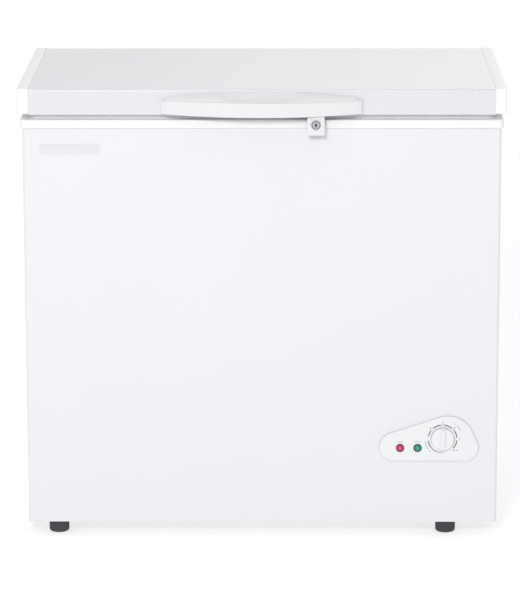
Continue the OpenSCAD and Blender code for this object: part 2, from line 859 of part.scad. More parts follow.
module lid_foam() {
    tongue = sheet_t + tongue_t + 0.5;
    color(foam_cream) difference() {
        union() {
            block([-sheet_end + tongue_len + 1, sheet_front + sheet_t + lid_edge_r, lid_bottom + sheet_t],
                  [sheet_end - tongue_len - 1, sheet_rear - sheet_t - lid_edge_r, sheet_top - sheet_t]);
            block([-sheet_end - cap_w + cap_t, sheet_front + tongue, lid_bottom + tongue],
                  [sheet_end + cap_w - cap_t, sheet_rear - tongue, sheet_top - tongue]);
            block([-sheet_end + tongue_len + 1, sheet_front + lid_return + over, lid_bottom],
                  [sheet_end - tongue_len - 1, sheet_rear - lid_return - over, lid_bottom + 2 * tongue]);
            plan_slab(plug_inset + lid_liner_t, plug_r - lid_liner_t,
                      plug_z + lid_liner_t, lid_bottom + over);
        }
    }
}

gasket_inset = 9;

module lid_gasket() {
    r = 20;
    color(grey_rubber) plan_ring(gasket_inset, r, gasket_inset + gasket_w, r - gasket_w + 8,
                                 collar_top + touch, lid_bottom - lid_liner_t);
}

// Handle: a hood lofted through upright sections from end to end. Each section runs up the front face,
// back over the top, and returns inside at the wall thickness.
handle_foot = sheet_front;
handle_mid_z = lid_bottom - 2;
handle_top = handle_mid_z + handle_h;
loft_half = handle_w / 2 - handle_cap_w;
handle_edge = 1.5;
front_steps = 3;
top_steps = 7;
loft_sections = 36;

function bow(x) =
    let (u = 2 * x / handle_w) handle_end_reach + (handle_reach - handle_end_reach) * (1 - u * u);
function brow(x) = let (u = abs(2 * x / handle_w)) handle_brow * sqrt(max(0, 1 - pow(u, 2.4)));
function sill(x) = let (u = 2 * x / handle_w) handle_mid_z + handle_end_rise * u * u;
function dish(x, v) =
    let (u = 2 * x / scoop_w)
    abs(u) >= 1 ? 0 : scoop_depth * pow(1 - pow(u, 8), 1.5) * sin(180 * min(1, v * 1.02));
function hood(x, v, t) =
    let (y0 = lid_front - bow(x) + t, y1 = handle_foot, z0 = handle_top - t, z1 = handle_top + brow(x) - t)
    [x, y0 + (y1 - y0) * v, z0 + (z1 - z0) * (1 - pow(1 - v, 1.5)) - dish(x, v)];
// One line of a section, inset by t: up the front, over the rounded edge and back along the top
function hood_line(x, t) =
    let (y = lid_front - bow(x) + t, z0 = sill(x), z1 = handle_top - t - handle_edge)
    concat(
        [for (i = [0:front_steps]) [x, y, z0 + (z1 - z0) * i / front_steps]],
        [[x, y + 0.3 * handle_edge, z1 + 0.7 * handle_edge]],
        [for (i = [1:top_steps]) hood(x, i / top_steps, t)]
    );
function handle_section(x) =
    let (inner = hood_line(x, handle_t))
    concat(hood_line(x, 0), [for (i = [len(inner) - 1:-1:0]) inner[i]]);

module loft(x0, x1, count) {
    n = len(handle_section(0));
    sections = [for (i = [0:count]) each handle_section(x0 + (x1 - x0) * i / count)];
    skin = [
        for (i = [0:count - 1], k = [0:n - 1])
            each [[i * n + k, i * n + (k + 1) % n, (i + 1) * n + k],
                  [i * n + (k + 1) % n, (i + 1) * n + (k + 1) % n, (i + 1) * n + k]]
    ];
    // Each end is closed strip by strip, between the outer line and the inner one
    first = [for (k = [0:n / 2 - 2]) each [[k, n - 1 - k, k + 1], [k + 1, n - 1 - k, n - 2 - k]]];
    last = [for (f = first) [count * n + f[0], count * n + f[2], count * n + f[1]]];
    polyhedron(points = sections, faces = concat(skin, first, last));
}

module handle_grip() {
    color(white_plastic) loft(-loft_half, loft_half, loft_sections);
}

// One solid end piece at each end of the hood
module handle_end_caps() {
    x0 = loft_half + 0.1;
    x1 = handle_w / 2;
    color(white_plastic) for (s = [0, 1]) mirror([s, 0, 0]) translate([0, 0, sill(x1)]) {
        height = handle_top + brow(x0) - sill(x1);
        intersection() {
            linear_extrude(height) polygon([
                [x0, handle_foot], [x1, handle_foot], [x1, lid_front - bow(x1) + 2],
                [x1 - 1.5, lid_front - bow(x1) + 0.3], [x0, lid_front - bow(x0)]
            ]);
            translate([0, 0, -sill(x1)]) across(x0 - over, x1 + over) polygon([
                [lid_front - bow(x0) - over, sill(x1)], [handle_foot + over, sill(x1)],
                [handle_foot + over, handle_top + 0.6 * brow(x0)],
                [lid_front - bow(x0) + 1, handle_top - 0.5],
                [lid_front - bow(x0) - over, handle_top - 1.5]
            ]);
        }
    }
}

// ---------------------------------------------------------------- lock

barrel_z = lid_bottom - barrel_drop;
lock_face = lid_front - 20;
lock_t = 3;
boss_back = lock_face + 8;
lock_clear = 0.05;
lock_side_back = lid_front + 0.5;
keeper_x0 = lock_x + 4.8;
keeper_x1 = lock_x + lock_w / 2 - lock_t - slack;
cam_w = 7;
cam_t = 2;
hub_r = 4;

module lock_housing() {
    left = lock_x - lock_w / 2;
    right = lock_x + lock_w / 2;
    bottom = lid_bottom - lock_drop;
    head = lid_bottom + 14;
    color(white_plastic) difference() {
        union() {
            block([left, lock_face, bottom], [right, lock_face + lock_t, head]);
            for (x = [left, right - lock_t])
                block([x, lock_face, bottom], [x + lock_t, lock_side_back, head]);
            block([left, lock_face, bottom], [right, boss_back - 1, bottom + lock_t]);
            block([left, lock_face, lid_bottom + 3], [right, handle_foot - touch, head]);
            along_y([lock_x, lock_face + 1, barrel_z], barrel_r + 3, boss_back - lock_face - 1);
        }
        along_y([lock_x, lock_face - over, barrel_z], barrel_r + lock_clear, boss_back - lock_face + 2);
    }
}

module lock_barrel() {
    color(zinc) difference() {
        union() {
            along_y([lock_x, lock_face, barrel_z], barrel_r, boss_back - lock_face);
            along_y([lock_x, lock_face - 1.5 - touch, barrel_z], barrel_r + 1, 1.5);
            along_y([lock_x, lock_face - 0.4, barrel_z], barrel_r - 0.5, 1);
            along_y([lock_x, boss_back - over, barrel_z], hub_r - 1, over + 0.5);
        }
        translate([lock_x, lock_face - 3, barrel_z]) rotate([-90, 0, 0]) {
            translate([-0.7, -3.6, 0]) cube([1.4, 7.2, 9]);
            cylinder(r = 1.9, h = 9);
        }
    }
}

module lock_cam() {
    color(zinc) difference() {
        union() {
            along_y([lock_x, boss_back + touch, barrel_z], hub_r, cam_t);
            block([lock_x - cam_w / 2, boss_back + touch, barrel_z - cam_len],
                  [lock_x + cam_w / 2, boss_back + touch + cam_t, barrel_z]);
        }
        along_y([lock_x, boss_back - over, barrel_z], hub_r - 1, over + 0.5);
    }
}

module lock_keeper() {
    shelf_z = barrel_z + cam_w / 2 + slack;
    color(zinc) union() {
        block([keeper_x0, collar_front - 1.5, collar_bottom + 0.5],
              [keeper_x1, collar_front, collar_top - 0.5]);
        block([keeper_x0, boss_back + slack, shelf_z], [keeper_x1, collar_front - 0.5, shelf_z + 2]);
    }
}

// ---------------------------------------------------------------- hinges

ear_r = 8;
axis_y = lid_rear + hinge_reach - ear_r;
axis_z = lid_bottom - 4;
bracket_top = collar_bottom - 4;
bracket_h = 90;
leaf_gap = 0.5;
leaf_h = 37;
leaf_t = 2;
spring_wire = 0.9;
spring_turns = 5;
spring_lead = 3;
spring_steps = 16;

module bracket_screw_places(s) {
    for (x = [-14, 14], z = [22, 66])
        translate([s * hinge_x + x, 0, bracket_top - z]) children();
}

// U-shaped bracket on the rear panel, with an ear on each side that carries the pin
module hinge_bracket(s) {
    color(zinc) difference() {
        translate([s * hinge_x, 0, 0]) {
            block([-hinge_w / 2, rear_face, bracket_top - bracket_h],
                  [hinge_w / 2, rear_face + 2, bracket_top]);
            for (x = [-hinge_w / 2, hinge_w / 2 - hinge_t]) {
                block([x, rear_face, bracket_top - bracket_h],
                      [x + hinge_t, axis_y + ear_r - 4, bracket_top]);
                block([x, collar_front + body_d + 2 * collar_overhang + 1.5, bracket_top - 20],
                      [x + hinge_t, axis_y + ear_r - 4, axis_z]);
                along_x([x, axis_y, axis_z], ear_r, hinge_t);
            }
        }
        along_x([s * hinge_x - hinge_w, axis_y, axis_z], pin_r + 0.02, 2 * hinge_w);
        bracket_screw_places(s) along_y([0, rear_face - over, 0], screw_r + 0.1, 5);
    }
}

module hinge_pins() {
    color(zinc) for (s = [-1, 1]) {
        along_x([s * hinge_x - hinge_w / 2 - 1, axis_y, axis_z], pin_r, hinge_w + 2);
        along_x([s * hinge_x - hinge_w / 2 - 2.5, axis_y, axis_z], pin_r + 1.8, 2);
        along_x([s * hinge_x + hinge_w / 2 + 0.5, axis_y, axis_z], pin_r + 1.8, 2);
    }
}

// Torsion spring: turns about the pin, one leg down on the bracket's plate and one up on the leaf's plate
module hinge_springs() {
    mid_r = pin_r + 2.2;
    coil = [
        for (i = [0:spring_turns * spring_steps]) let (a = 180 - 360 * i / spring_steps)
            [spring_lead * (i / spring_steps - spring_turns / 2), mid_r * cos(a), mid_r * sin(a)]
    ];
    x = coil[0].x;
    plate_y = rear_face + 2 + spring_wire + touch - axis_y;
    leaf_y = sheet_rear + leaf_t + spring_wire + touch - axis_y;
    path = concat(
        [[x, plate_y, bracket_top - 14 - axis_z], [x, plate_y, bracket_top - 8 - axis_z], [x, -mid_r, -14]],
        coil,
        [[-x, leaf_y, 10], [-x, leaf_y, 24]]
    );
    color(zinc) for (s = [-1, 1]) translate([s * hinge_x, axis_y, axis_z]) tube(path, spring_wire, 6);
}

module leaf_screw_places(s) {
    for (x = [-14, 14], z = [14, 30])
        translate([s * hinge_x + x, 0, lid_bottom + z]) children();
}

module hinge_leaf(s) {
    half = hinge_w / 2 - hinge_t - leaf_gap;
    z0 = lid_bottom + 4;
    color(zinc) difference() {
        translate([s * hinge_x, 0, 0]) {
            block([-half, sheet_rear, z0], [half, sheet_rear + leaf_t, z0 + leaf_h]);
            for (x = [-half, half - hinge_t]) {
                block([x, sheet_rear, z0 - 3], [x + hinge_t, axis_y + 3, z0 + 12]);
                block([x, lid_rear + touch, axis_z - 2], [x + hinge_t, axis_y + 3, z0]);
                along_x([x, axis_y, axis_z], ear_r - 1, hinge_t);
            }
        }
        along_x([s * hinge_x - hinge_w, axis_y, axis_z], pin_r + pin_clear, 2 * hinge_w);
        leaf_screw_places(s) along_y([0, sheet_rear - over, 0], screw_r + 0.1, 5);
    }
}

module hinge_leaf_screws() {
    color(zinc) for (s = [-1, 1]) leaf_screw_places(s)
        translate([0, sheet_rear + leaf_t, 0]) rotate([-90, 0, 0]) pan_screw(leaf_t);
}

module hinge_bracket_screws() {
    color(zinc) for (s = [-1, 1]) bracket_screw_places(s)
        translate([0, rear_face + 2, 0]) rotate([-90, 0, 0]) pan_screw(2 + sheet_t);
}

// ---------------------------------------------------------------- basket

basket_right = body_right - lip_inset - 14;
basket_x = [basket_right - basket_w, basket_right];
rim_inset = ledge_inset + collar_t + rod_r + 1.5;
rim_y = [body_front + rim_inset, body_rear - rim_inset];
mesh_y = [body_front + lip_inset + 6, body_rear - lip_inset - 6];
rim_z = ledge_top + touch + rod_r;
mesh_z = [rim_z - basket_h, rim_z - rod_r - 0.2];

// A straight rod between two points, along X, Y or Z
module rod(a, b, r) {
    d = b - a;
    translate(a) rotate(d.x != 0 ? [0, 90, 0] : d.y != 0 ? [-90, 0, 0] : [0, 0, 0])
        cylinder(r = r, h = norm(d), $fn = 8);
}

module basket_frame() {
    color(white_plastic) union() {
        for (y = rim_y) rod([basket_x[0] - rod_r, y, rim_z], [basket_x[1] + rod_r, y, rim_z], rod_r);
        for (x = basket_x) rod([x, rim_y[0], rim_z], [x, rim_y[1], rim_z], rod_r);
        for (y = mesh_y) rod([basket_x[0], y, rim_z], [basket_x[1], y, rim_z], rod_r);
    }
}

function spread(low, high, pitch) =
    let (n = round((high - low) / pitch)) [for (i = [0:n]) low + (high - low) * i / n];

// A flat grid in the plane of the first two axes, its two sets of wires pressed into each other
module grid(w, h, pitch_w, pitch_h) {
    for (x = spread(wire_r, w - wire_r, pitch_w)) rod([x, 0, 0], [x, h, 0], wire_r);
    for (y = spread(wire_r, h - wire_r, pitch_h)) rod([0, y, wire_r], [w, y, wire_r], wire_r);
}

module basket_mesh() {
    gap = 3 * wire_r;
    w = basket_x[1] - basket_x[0];
    d = mesh_y[1] - mesh_y[0];
    h = mesh_z[1] - mesh_z[0];
    color(white_plastic) {
        translate([basket_x[0] + gap, mesh_y[0] + gap, mesh_z[0]]) grid(w - 2 * gap, d - 2 * gap, 36, 32);
        for (x = basket_x) translate([x, mesh_y[0] + gap, mesh_z[0]]) rotate([90, 0, 90])
            grid(d - 2 * gap, h, 32, 48);
        for (y = mesh_y) translate([basket_x[0] + gap, y, mesh_z[0]]) rotate([90, 0, 0])
            grid(w - 2 * gap, h, 36, 48);
    }
}

// ---------------------------------------------------------------- nodes

cabinet_wrapper();
rear_panel();
bottom_panel();
inner_liner();
insulation_foam();
top_collar();
bay_cover();
evaporator_tube();
condenser_tube();
compressor_can();
compressor_mount_plate();
compressor_grommets();
compressor_bolts();
compressor_tray();
start_relay_box();
suction_line();
discharge_line();
filter_drier();
side_grille();
rear_vent_cover();
cover_screws();
cord_gland();
control_bezel();
lens(power_x, [0.80, 0.22, 0.38]);  // power_lens
lens(run_x, [0.15, 0.58, 0.48]);  // run_lens
indicator_lamps();
thermostat_body();
badge_plate();
drain_tube();
foot(foot_x[0], foot_y[0]);  // foot_front_left
foot(foot_x[1], foot_y[0]);  // foot_front_right
foot(foot_x[0], foot_y[1]);  // foot_rear_left
foot(foot_x[1], foot_y[1]);  // foot_rear_right
foot_screws();
hinge_bracket(-1);  // hinge_bracket_left
hinge_bracket(1);  // hinge_bracket_right
hinge_pins();
hinge_springs();
hinge_bracket_screws();
lock_keeper();
lid_top_panel();
lid_end_cap_left();
lid_end_cap_right();
lid_foam();
lid_inner_liner();
lid_gasket();
handle_grip();
handle_end_caps();
hinge_leaf(-1);  // hinge_leaf_left
hinge_leaf(1);  // hinge_leaf_right
hinge_leaf_screws();
lock_housing();
lock_barrel();
lock_cam();
thermostat_knob();
thermostat_shaft();
basket_frame();
basket_mesh();
drain_plug();
drain_cap();
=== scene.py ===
"""Looks of a small chest freezer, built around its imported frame.

Every length is in metres, in the frame's own axes: +X to the right, -Y to the front, +Z up.
"""

import logging
import math
from dataclasses import dataclass, field
from enum import Enum
from typing import Any, Iterable, Mapping, Sequence

import bmesh
import bpy
from mathutils import Matrix, Vector


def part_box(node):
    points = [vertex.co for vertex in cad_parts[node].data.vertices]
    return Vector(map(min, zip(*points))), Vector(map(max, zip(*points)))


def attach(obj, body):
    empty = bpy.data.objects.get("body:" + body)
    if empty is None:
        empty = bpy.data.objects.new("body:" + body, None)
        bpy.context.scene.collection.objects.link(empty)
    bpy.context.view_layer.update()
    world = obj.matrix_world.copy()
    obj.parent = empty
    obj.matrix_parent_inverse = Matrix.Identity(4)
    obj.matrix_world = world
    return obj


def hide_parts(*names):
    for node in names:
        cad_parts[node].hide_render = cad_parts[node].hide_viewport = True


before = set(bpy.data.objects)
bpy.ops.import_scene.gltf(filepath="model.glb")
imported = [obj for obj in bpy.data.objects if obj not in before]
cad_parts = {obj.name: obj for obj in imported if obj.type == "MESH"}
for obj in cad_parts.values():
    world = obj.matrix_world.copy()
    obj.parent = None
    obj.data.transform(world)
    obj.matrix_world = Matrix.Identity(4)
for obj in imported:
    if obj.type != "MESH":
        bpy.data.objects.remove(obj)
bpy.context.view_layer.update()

log = logging.getLogger("chest_freezer")

MM = 0.001
SHARP = math.radians(32)  # edges sharper than this are creases
MERGE = 1e-6  # vertices nearer than this are one
BEND_SHARE = 0.45  # a bend takes up no more than this share of a side

Point2 = tuple[float, float]


# ---------------------------------------------------------------- finishes


class Surface(Enum):
    """How a surface was made, which decides its fine relief."""

    COIL_COATED = "coil coated"
    MOULDED = "moulded"
    EMBOSSED = "embossed"
    SPANGLED = "spangled"
    DRAWN = "drawn"
    ENAMELLED = "enamelled"
    FOAMED = "foamed"
    RUBBERY = "rubbery"
    POLISHED = "polished"


def linear_colour(hex_colour: str) -> tuple[float, float, float, float]:
    """Turns an sRGB hex colour into the linear values that shaders take.

    Args:
        hex_colour: six hex digits, with or without a leading hash.

    Returns:
        Linear red, green and blue, and an alpha of one.
    """
    digits = hex_colour.lstrip("#")
    channels = []
    for start in (0, 2, 4):
        value = int(digits[start:start + 2], 16) / 255
        channels.append(value / 12.92 if value <= 0.04045 else ((value + 0.055) / 1.055) ** 2.4)
    return (channels[0], channels[1], channels[2], 1.0)


def per_metre(millimetres: float) -> float:
    """Pattern scale that gives features of this many millimetres."""
    return 1.0 / (millimetres * MM)


def add_node(
    tree: bpy.types.NodeTree,
    kind: str,
    inputs: Mapping[str | int, Any] | None = None,
    **settings: Any,
) -> bpy.types.Node:
    """Adds a shader node, sets its properties and fills or links its inputs.

    Args:
        tree: node tree that takes the node.
        kind: the node's type, without the ShaderNode prefix.
        inputs: input name or index to a value, or to an output socket to link.
        settings: the node's own properties.

    Returns:
        The new node.
    """
    node = tree.nodes.new("ShaderNode" + kind)
    for name, value in settings.items():
        setattr(node, name, value)
    for name, value in (inputs or {}).items():
        if isinstance(value, bpy.types.NodeSocket):
            tree.links.new(value, node.inputs[name])
        else:
            node.inputs[name].default_value = value
    return node


@dataclass(frozen=True)
class Finish:
    """One material: what it is, its colour and the relief that its making leaves.

    Attributes:
        name: the material's name, after the real one.
        slot: the record's material slot; not used by this script.
        colour: sRGB hex colour.
        surface: how the surface was made.
        roughness: mean roughness.
        metallic: one on bare metal.
        grain_mm: size of the relief's grain in millimetres.
        relief_mm: depth of the relief in millimetres.
        shade: how much darker the mottled parts are, from 0 to 1.
        wear: how far the roughness strays from its mean.
        mottle_mm: size of the mottling in millimetres.
        ior: index of refraction, for what isn't metal.
        coat: weight of a clear coat.
        transmission: weight of light let through.
        glow: weight of the colour seen from inside, as on a lens with its lamp behind it.
    """

    name: str
    slot: str
    colour: str
    surface: Surface
    roughness: float
    metallic: float = 0.0
    grain_mm: float = 1.0
    relief_mm: float = 0.01
    shade: float = 0.03
    wear: float = 0.03
    mottle_mm: float = 60.0
    ior: float = 1.5
    coat: float = 0.0
    transmission: float = 0.0
    glow: float = 0.0

    def material(self) -> bpy.types.Material:
        """Returns this finish's material, making it on its first use."""
        found = bpy.data.materials.get(self.name)
        if found is not None:
            return found
        material = bpy.data.materials.new(self.name)
        material.use_nodes = True
        tree = material.node_tree
        tree.nodes.clear()
        place = add_node(tree, "TexCoord").outputs["Object"]
        shader = add_node(tree, "BsdfPrincipled", {
            "Base Color": self._colour(tree, place),
            "Roughness": self._roughness(tree, place),
            "Normal": self._relief(tree, place),
            "Metallic": self.metallic,
            "Coat Weight": self.coat,
            "Coat Roughness": 0.12,
            "Transmission Weight": self.transmission,
            "Emission Color": linear_colour(self.colour),
            "Emission Strength": self.glow,
        })
        if self.metallic < 0.5:
            shader.inputs["IOR"].default_value = self.ior
        add_node(tree, "OutputMaterial", {"Surface": shader.outputs["BSDF"]})
        return material

    def _noise(
        self, tree: bpy.types.NodeTree, place: bpy.types.NodeSocket, millimetres: float, detail: float
    ) -> bpy.types.NodeSocket:
        """Noise whose features are this many millimetres across."""
        return add_node(tree, "TexNoise", {
            "Vector": place, "Scale": per_metre(millimetres), "Detail": detail, "Roughness": 0.55,
        }).outputs["Fac"]

    def _colour(self, tree: bpy.types.NodeTree, place: bpy.types.NodeSocket) -> bpy.types.NodeSocket:
        """Base colour with soft mottling, and with crystals on galvanised sheet."""
        base = linear_colour(self.colour)
        dark = tuple(channel * (1 - self.shade) for channel in base[:3]) + (1.0,)
        if self.surface is Surface.SPANGLED:
            factor = add_node(tree, "TexVoronoi", {
                "Vector": place, "Scale": per_metre(self.mottle_mm), "Randomness": 1.0,
            }).outputs["Color"]
        else:
            factor = self._noise(tree, place, self.mottle_mm, 1.0)
        return self._mix(tree, factor, dark, base)

    def _mix(
        self,
        tree: bpy.types.NodeTree,
        factor: bpy.types.NodeSocket,
        first: Sequence[float],
        second: Sequence[float],
    ) -> bpy.types.NodeSocket:
        """A colour ramp between two colours, driven by a pattern."""
        ramp = add_node(tree, "ValToRGB", {"Fac": factor})
        ramp.color_ramp.interpolation = "EASE"
        ramp.color_ramp.elements[0].position = 0.15
        ramp.color_ramp.elements[0].color = first
        ramp.color_ramp.elements[1].position = 0.85
        ramp.color_ramp.elements[1].color = second
        return ramp.outputs["Color"]

    def _roughness(self, tree: bpy.types.NodeTree, place: bpy.types.NodeSocket) -> bpy.types.NodeSocket:
        """Roughness that varies a little, as on any handled surface."""
        return add_node(tree, "MapRange", {
            "Value": self._noise(tree, place, self.mottle_mm * 0.6, 1.0),
            "From Min": 0.1,
            "From Max": 0.9,
            "To Min": max(0.02, self.roughness - self.wear),
            "To Max": min(1.0, self.roughness + self.wear),
        }, interpolation_type="SMOOTHSTEP").outputs["Result"]

    def _relief(self, tree: bpy.types.NodeTree, place: bpy.types.NodeSocket) -> bpy.types.NodeSocket:
        """Bump from the fine relief that this way of making leaves."""
        if self.surface is Surface.EMBOSSED:
            height = add_node(tree, "TexVoronoi", {
                "Vector": place, "Scale": per_metre(self.grain_mm), "Smoothness": 0.6,
            }, feature="SMOOTH_F1").outputs["Distance"]
        elif self.surface is Surface.DRAWN:
            along = add_node(tree, "Mapping", {"Vector": place, "Scale": (1.0, 1.0, 0.05)}).outputs["Vector"]
            height = self._noise(tree, along, self.grain_mm, 2.0)
        elif self.surface is Surface.FOAMED:
            height = add_node(tree, "TexVoronoi", {
                "Vector": place, "Scale": per_metre(self.grain_mm),
            }).outputs["Distance"]
        elif self.surface in (Surface.MOULDED, Surface.RUBBERY):
            height = self._noise(tree, place, self.grain_mm, 5.0)
        else:
            height = self._noise(tree, place, self.grain_mm, 1.0)
        return add_node(tree, "Bump", {
            "Height": height, "Strength": 1.0, "Distance": self.relief_mm * MM,
        }).outputs["Normal"]


# Prepainted steel: glossy polyester paint rolled on flat, so only a faint orange peel shows
COATED_STEEL = Finish("prepainted_steel", "white_coated_steel", "#E3E4E7", Surface.COIL_COATED, 0.30,
                      grain_mm=2.2, relief_mm=0.004, shade=0.01, wear=0.01, mottle_mm=240)
# Lid sheet: the same paint, given a greyer colour all over as painted shade, so that its flat top looks less lit than
# the walls
LID_STEEL_PAINTED_SHADE = Finish("prepainted_steel_lid_painted_shade", "white_coated_steel", "#DADBDF", Surface.COIL_COATED, 0.28,
                   grain_mm=2.2, relief_mm=0.004, shade=0.01, wear=0.01, mottle_mm=240)
# Stucco-embossed liner sheet: pebbled all over so that frost lets go
LINER_SHEET = Finish("embossed_liner_sheet", "liner_sheet", "#E4E7EA", Surface.EMBOSSED, 0.34,
                     grain_mm=7.0, relief_mm=0.35, shade=0.03, mottle_mm=90)
# Polystyrene mouldings: satin white with a fine eroded texture
WHITE_MOULDING = Finish("white_polystyrene", "white_plastic", "#EEEEEF", Surface.MOULDED, 0.38,
                        grain_mm=0.9, relief_mm=0.01, shade=0.015, mottle_mm=80)
# ABS handle: the same white, smoother where hands hold it
HANDLE_ABS = Finish("white_abs_handle", "handle_plastic", "#E1E1E3", Surface.MOULDED, 0.30,
                    grain_mm=0.8, relief_mm=0.006, shade=0.012, mottle_mm=60)
# ABS of the control panel and its dial
CONTROL_ABS = Finish("white_abs_controls", "control_plastic", "#E6E7E9", Surface.MOULDED, 0.33,
                     grain_mm=0.7, relief_mm=0.006, shade=0.01, mottle_mm=40)
# Badge blank: pale grey ABS
BADGE_ABS = Finish("grey_abs_badge", "badge_plastic", "#DBDCDF", Surface.MOULDED, 0.28,
                   grain_mm=0.7, relief_mm=0.005, shade=0.01, wear=0.01, mottle_mm=80)
# The panel's edge: a raised bead of the same ABS set round it, coloured pale grey as painted shade for the shadow
# along the panel's edge
EDGE_SHADE_BEAD_ABS = Finish("grey_abs_bead_painted_edge_shade", "control_plastic", "#C4C5C9", Surface.MOULDED, 0.4,
                  grain_mm=0.7, relief_mm=0.005, shade=0.04, mottle_mm=30)
# Screen-printed ink of the dial's scale: matt dark grey
SCALE_INK = Finish("dark_grey_ink", "control_plastic", "#3A3B3E", Surface.RUBBERY, 0.62,
                   grain_mm=0.5, relief_mm=0.004, shade=0.12, mottle_mm=4)
# The scale's fainter marks
PALE_INK = Finish("pale_grey_ink", "control_plastic", "#A9AAAD", Surface.RUBBERY, 0.62,
                  grain_mm=0.5, relief_mm=0.004, shade=0.08, mottle_mm=4)
# Tinted polycarbonate lenses: glossy, with the lamp's holder just visible as a lighter middle
RED_LENS = Finish("red_polycarbonate", "red_lens", "#D23A68", Surface.POLISHED, 0.12,
                  grain_mm=1.5, relief_mm=0.003, shade=0.2, mottle_mm=6, ior=1.58, transmission=0.15, glow=0.16)
RED_RIM = Finish("red_polycarbonate_rim", "red_lens", "#7C0F2E", Surface.POLISHED, 0.18,
                 grain_mm=1.5, relief_mm=0.003, shade=0.15, mottle_mm=6, ior=1.58)
GREEN_LENS = Finish("green_polycarbonate", "green_lens", "#189C86", Surface.POLISHED, 0.12,
                    grain_mm=1.5, relief_mm=0.003, shade=0.2, mottle_mm=6, ior=1.58, transmission=0.15, glow=0.14)
GREEN_RIM = Finish("green_polycarbonate_rim", "green_lens", "#0A5042", Surface.POLISHED, 0.18,
                   grain_mm=1.5, relief_mm=0.003, shade=0.15, mottle_mm=6, ior=1.58)
# Hot-dip galvanised sheet: dull grey with zinc crystals a few millimetres across
GALVANISED = Finish("galvanised_steel", "galvanised_steel", "#BFC2C5", Surface.SPANGLED, 0.42, metallic=1.0,
                    grain_mm=1.2, relief_mm=0.01, shade=0.25, mottle_mm=9)
# Bright zinc plating on fasteners, pins and springs
ZINC_PLATE = Finish("zinc_plated_steel", "zinc_plated_steel", "#C9CACB", Surface.POLISHED, 0.28, metallic=1.0,
                    grain_mm=0.6, relief_mm=0.004, shade=0.15, mottle_mm=8)
# Powder coat of the hinges: thicker than paint, with a clear orange peel
POWDER_COAT = Finish("white_powder_coat", "hinge_steel", "#E4E6E8", Surface.ENAMELLED, 0.36,
                     grain_mm=1.4, relief_mm=0.03, shade=0.03, mottle_mm=30)
# Satin chrome of the lock's barrel
SATIN_CHROME = Finish("satin_chrome", "chromed_lock", "#BCBEC1", Surface.POLISHED, 0.22, metallic=1.0,
                      grain_mm=0.5, relief_mm=0.002, shade=0.1, mottle_mm=6)
# Baked black enamel of the compressor
BLACK_ENAMEL = Finish("black_baked_enamel", "black_enamel", "#17181A", Surface.ENAMELLED, 0.3,
                      grain_mm=2.0, relief_mm=0.05, shade=0.3, mottle_mm=30)
# Glass-filled nylon of the relay box and the cord gland
BLACK_NYLON = Finish("black_nylon", "black_plastic", "#1B1C1E", Surface.MOULDED, 0.55,
                     grain_mm=0.8, relief_mm=0.02, shade=0.2, mottle_mm=12)
# Drawn copper: fine lines along the tube, dulled by handling
COPPER = Finish("drawn_copper", "copper_tube", "#B87954", Surface.DRAWN, 0.36, metallic=1.0,
                grain_mm=0.8, relief_mm=0.006, shade=0.3, mottle_mm=25)
# Drawn aluminium tube
ALUMINIUM = Finish("drawn_aluminium", "aluminium_tube", "#C7C9CC", Surface.DRAWN, 0.34, metallic=1.0,
                   grain_mm=0.8, relief_mm=0.006, shade=0.15, mottle_mm=25)
# Rigid polyurethane foam: cream, with fine closed cells
FOAM = Finish("polyurethane_foam", "insulation_foam", "#EBDDB2", Surface.FOAMED, 0.9,
              grain_mm=1.6, relief_mm=0.25, shade=0.1, mottle_mm=35)
# Natural rubber of the feet and grommets: matt, slightly dusty
DARK_RUBBER = Finish("dark_grey_rubber", "dark_rubber", "#404246", Surface.RUBBERY, 0.72,
                     grain_mm=0.7, relief_mm=0.03, shade=0.18, mottle_mm=14)
# Soft PVC of the gasket and the plug: nearly white, waxy to the touch
SOFT_PVC = Finish("grey_soft_pvc", "grey_rubber", "#EDEEF0", Surface.RUBBERY, 0.55,
                  grain_mm=0.9, relief_mm=0.015, shade=0.06, mottle_mm=30)
# Polyethylene dip on the basket's wires: waxy white, softly rounded
WIRE_DIP = Finish("white_polyethylene_dip", "coated_wire", "#EEF0F0", Surface.MOULDED, 0.35,
                  grain_mm=1.8, relief_mm=0.03, shade=0.02, mottle_mm=20)


# ---------------------------------------------------------------- modelling


def on_curve(start: Vector, corner: Vector, end: Vector, t: float) -> Vector:
    """Point at t, from 0 to 1, of the curve that leaves start towards a corner and comes to end."""
    return start * (1 - t) ** 2 + corner * 2 * t * (1 - t) + end * t * t


def bent(points: Sequence[Vector], radius: float, steps: int = 6, closed: bool = False) -> list[Vector]:
    """Rounds the corners of a path.

    Args:
        points: the path's corners.
        radius: how far before and after a corner the bend reaches, less beside a short side.
        steps: segments of each bend.
        closed: whether the path joins its own start.

    Returns:
        The rounded path.
    """
    path: list[Vector] = [] if closed else [points[0].copy()]
    for index in range(len(points)) if closed else range(1, len(points) - 1):
        here = points[index]
        start, end = (
            here + (other - here).normalized() * min(radius, BEND_SHARE * (other - here).length)
            for other in (points[index - 1], points[(index + 1) % len(points)])
        )
        path += [on_curve(start, here, end, step / steps) for step in range(steps + 1)]
    if not closed:
        path.append(points[-1].copy())
    return path


def filleted(points: Sequence[Point2], radius: float, steps: int = 3) -> list[Point2]:
    """Rounds every corner of a closed flat outline, given and returned as pairs."""
    return [(point.x, point.y) for point in bent([Vector(point) for point in points], radius, steps, True)]


def circle(centre: Point2, radius: float, steps: int = 48) -> list[Point2]:
    """Points of a circle in a plane."""
    turns = [2 * math.pi * step / steps for step in range(steps)]
    return [(centre[0] + radius * math.cos(a), centre[1] + radius * math.sin(a)) for a in turns]


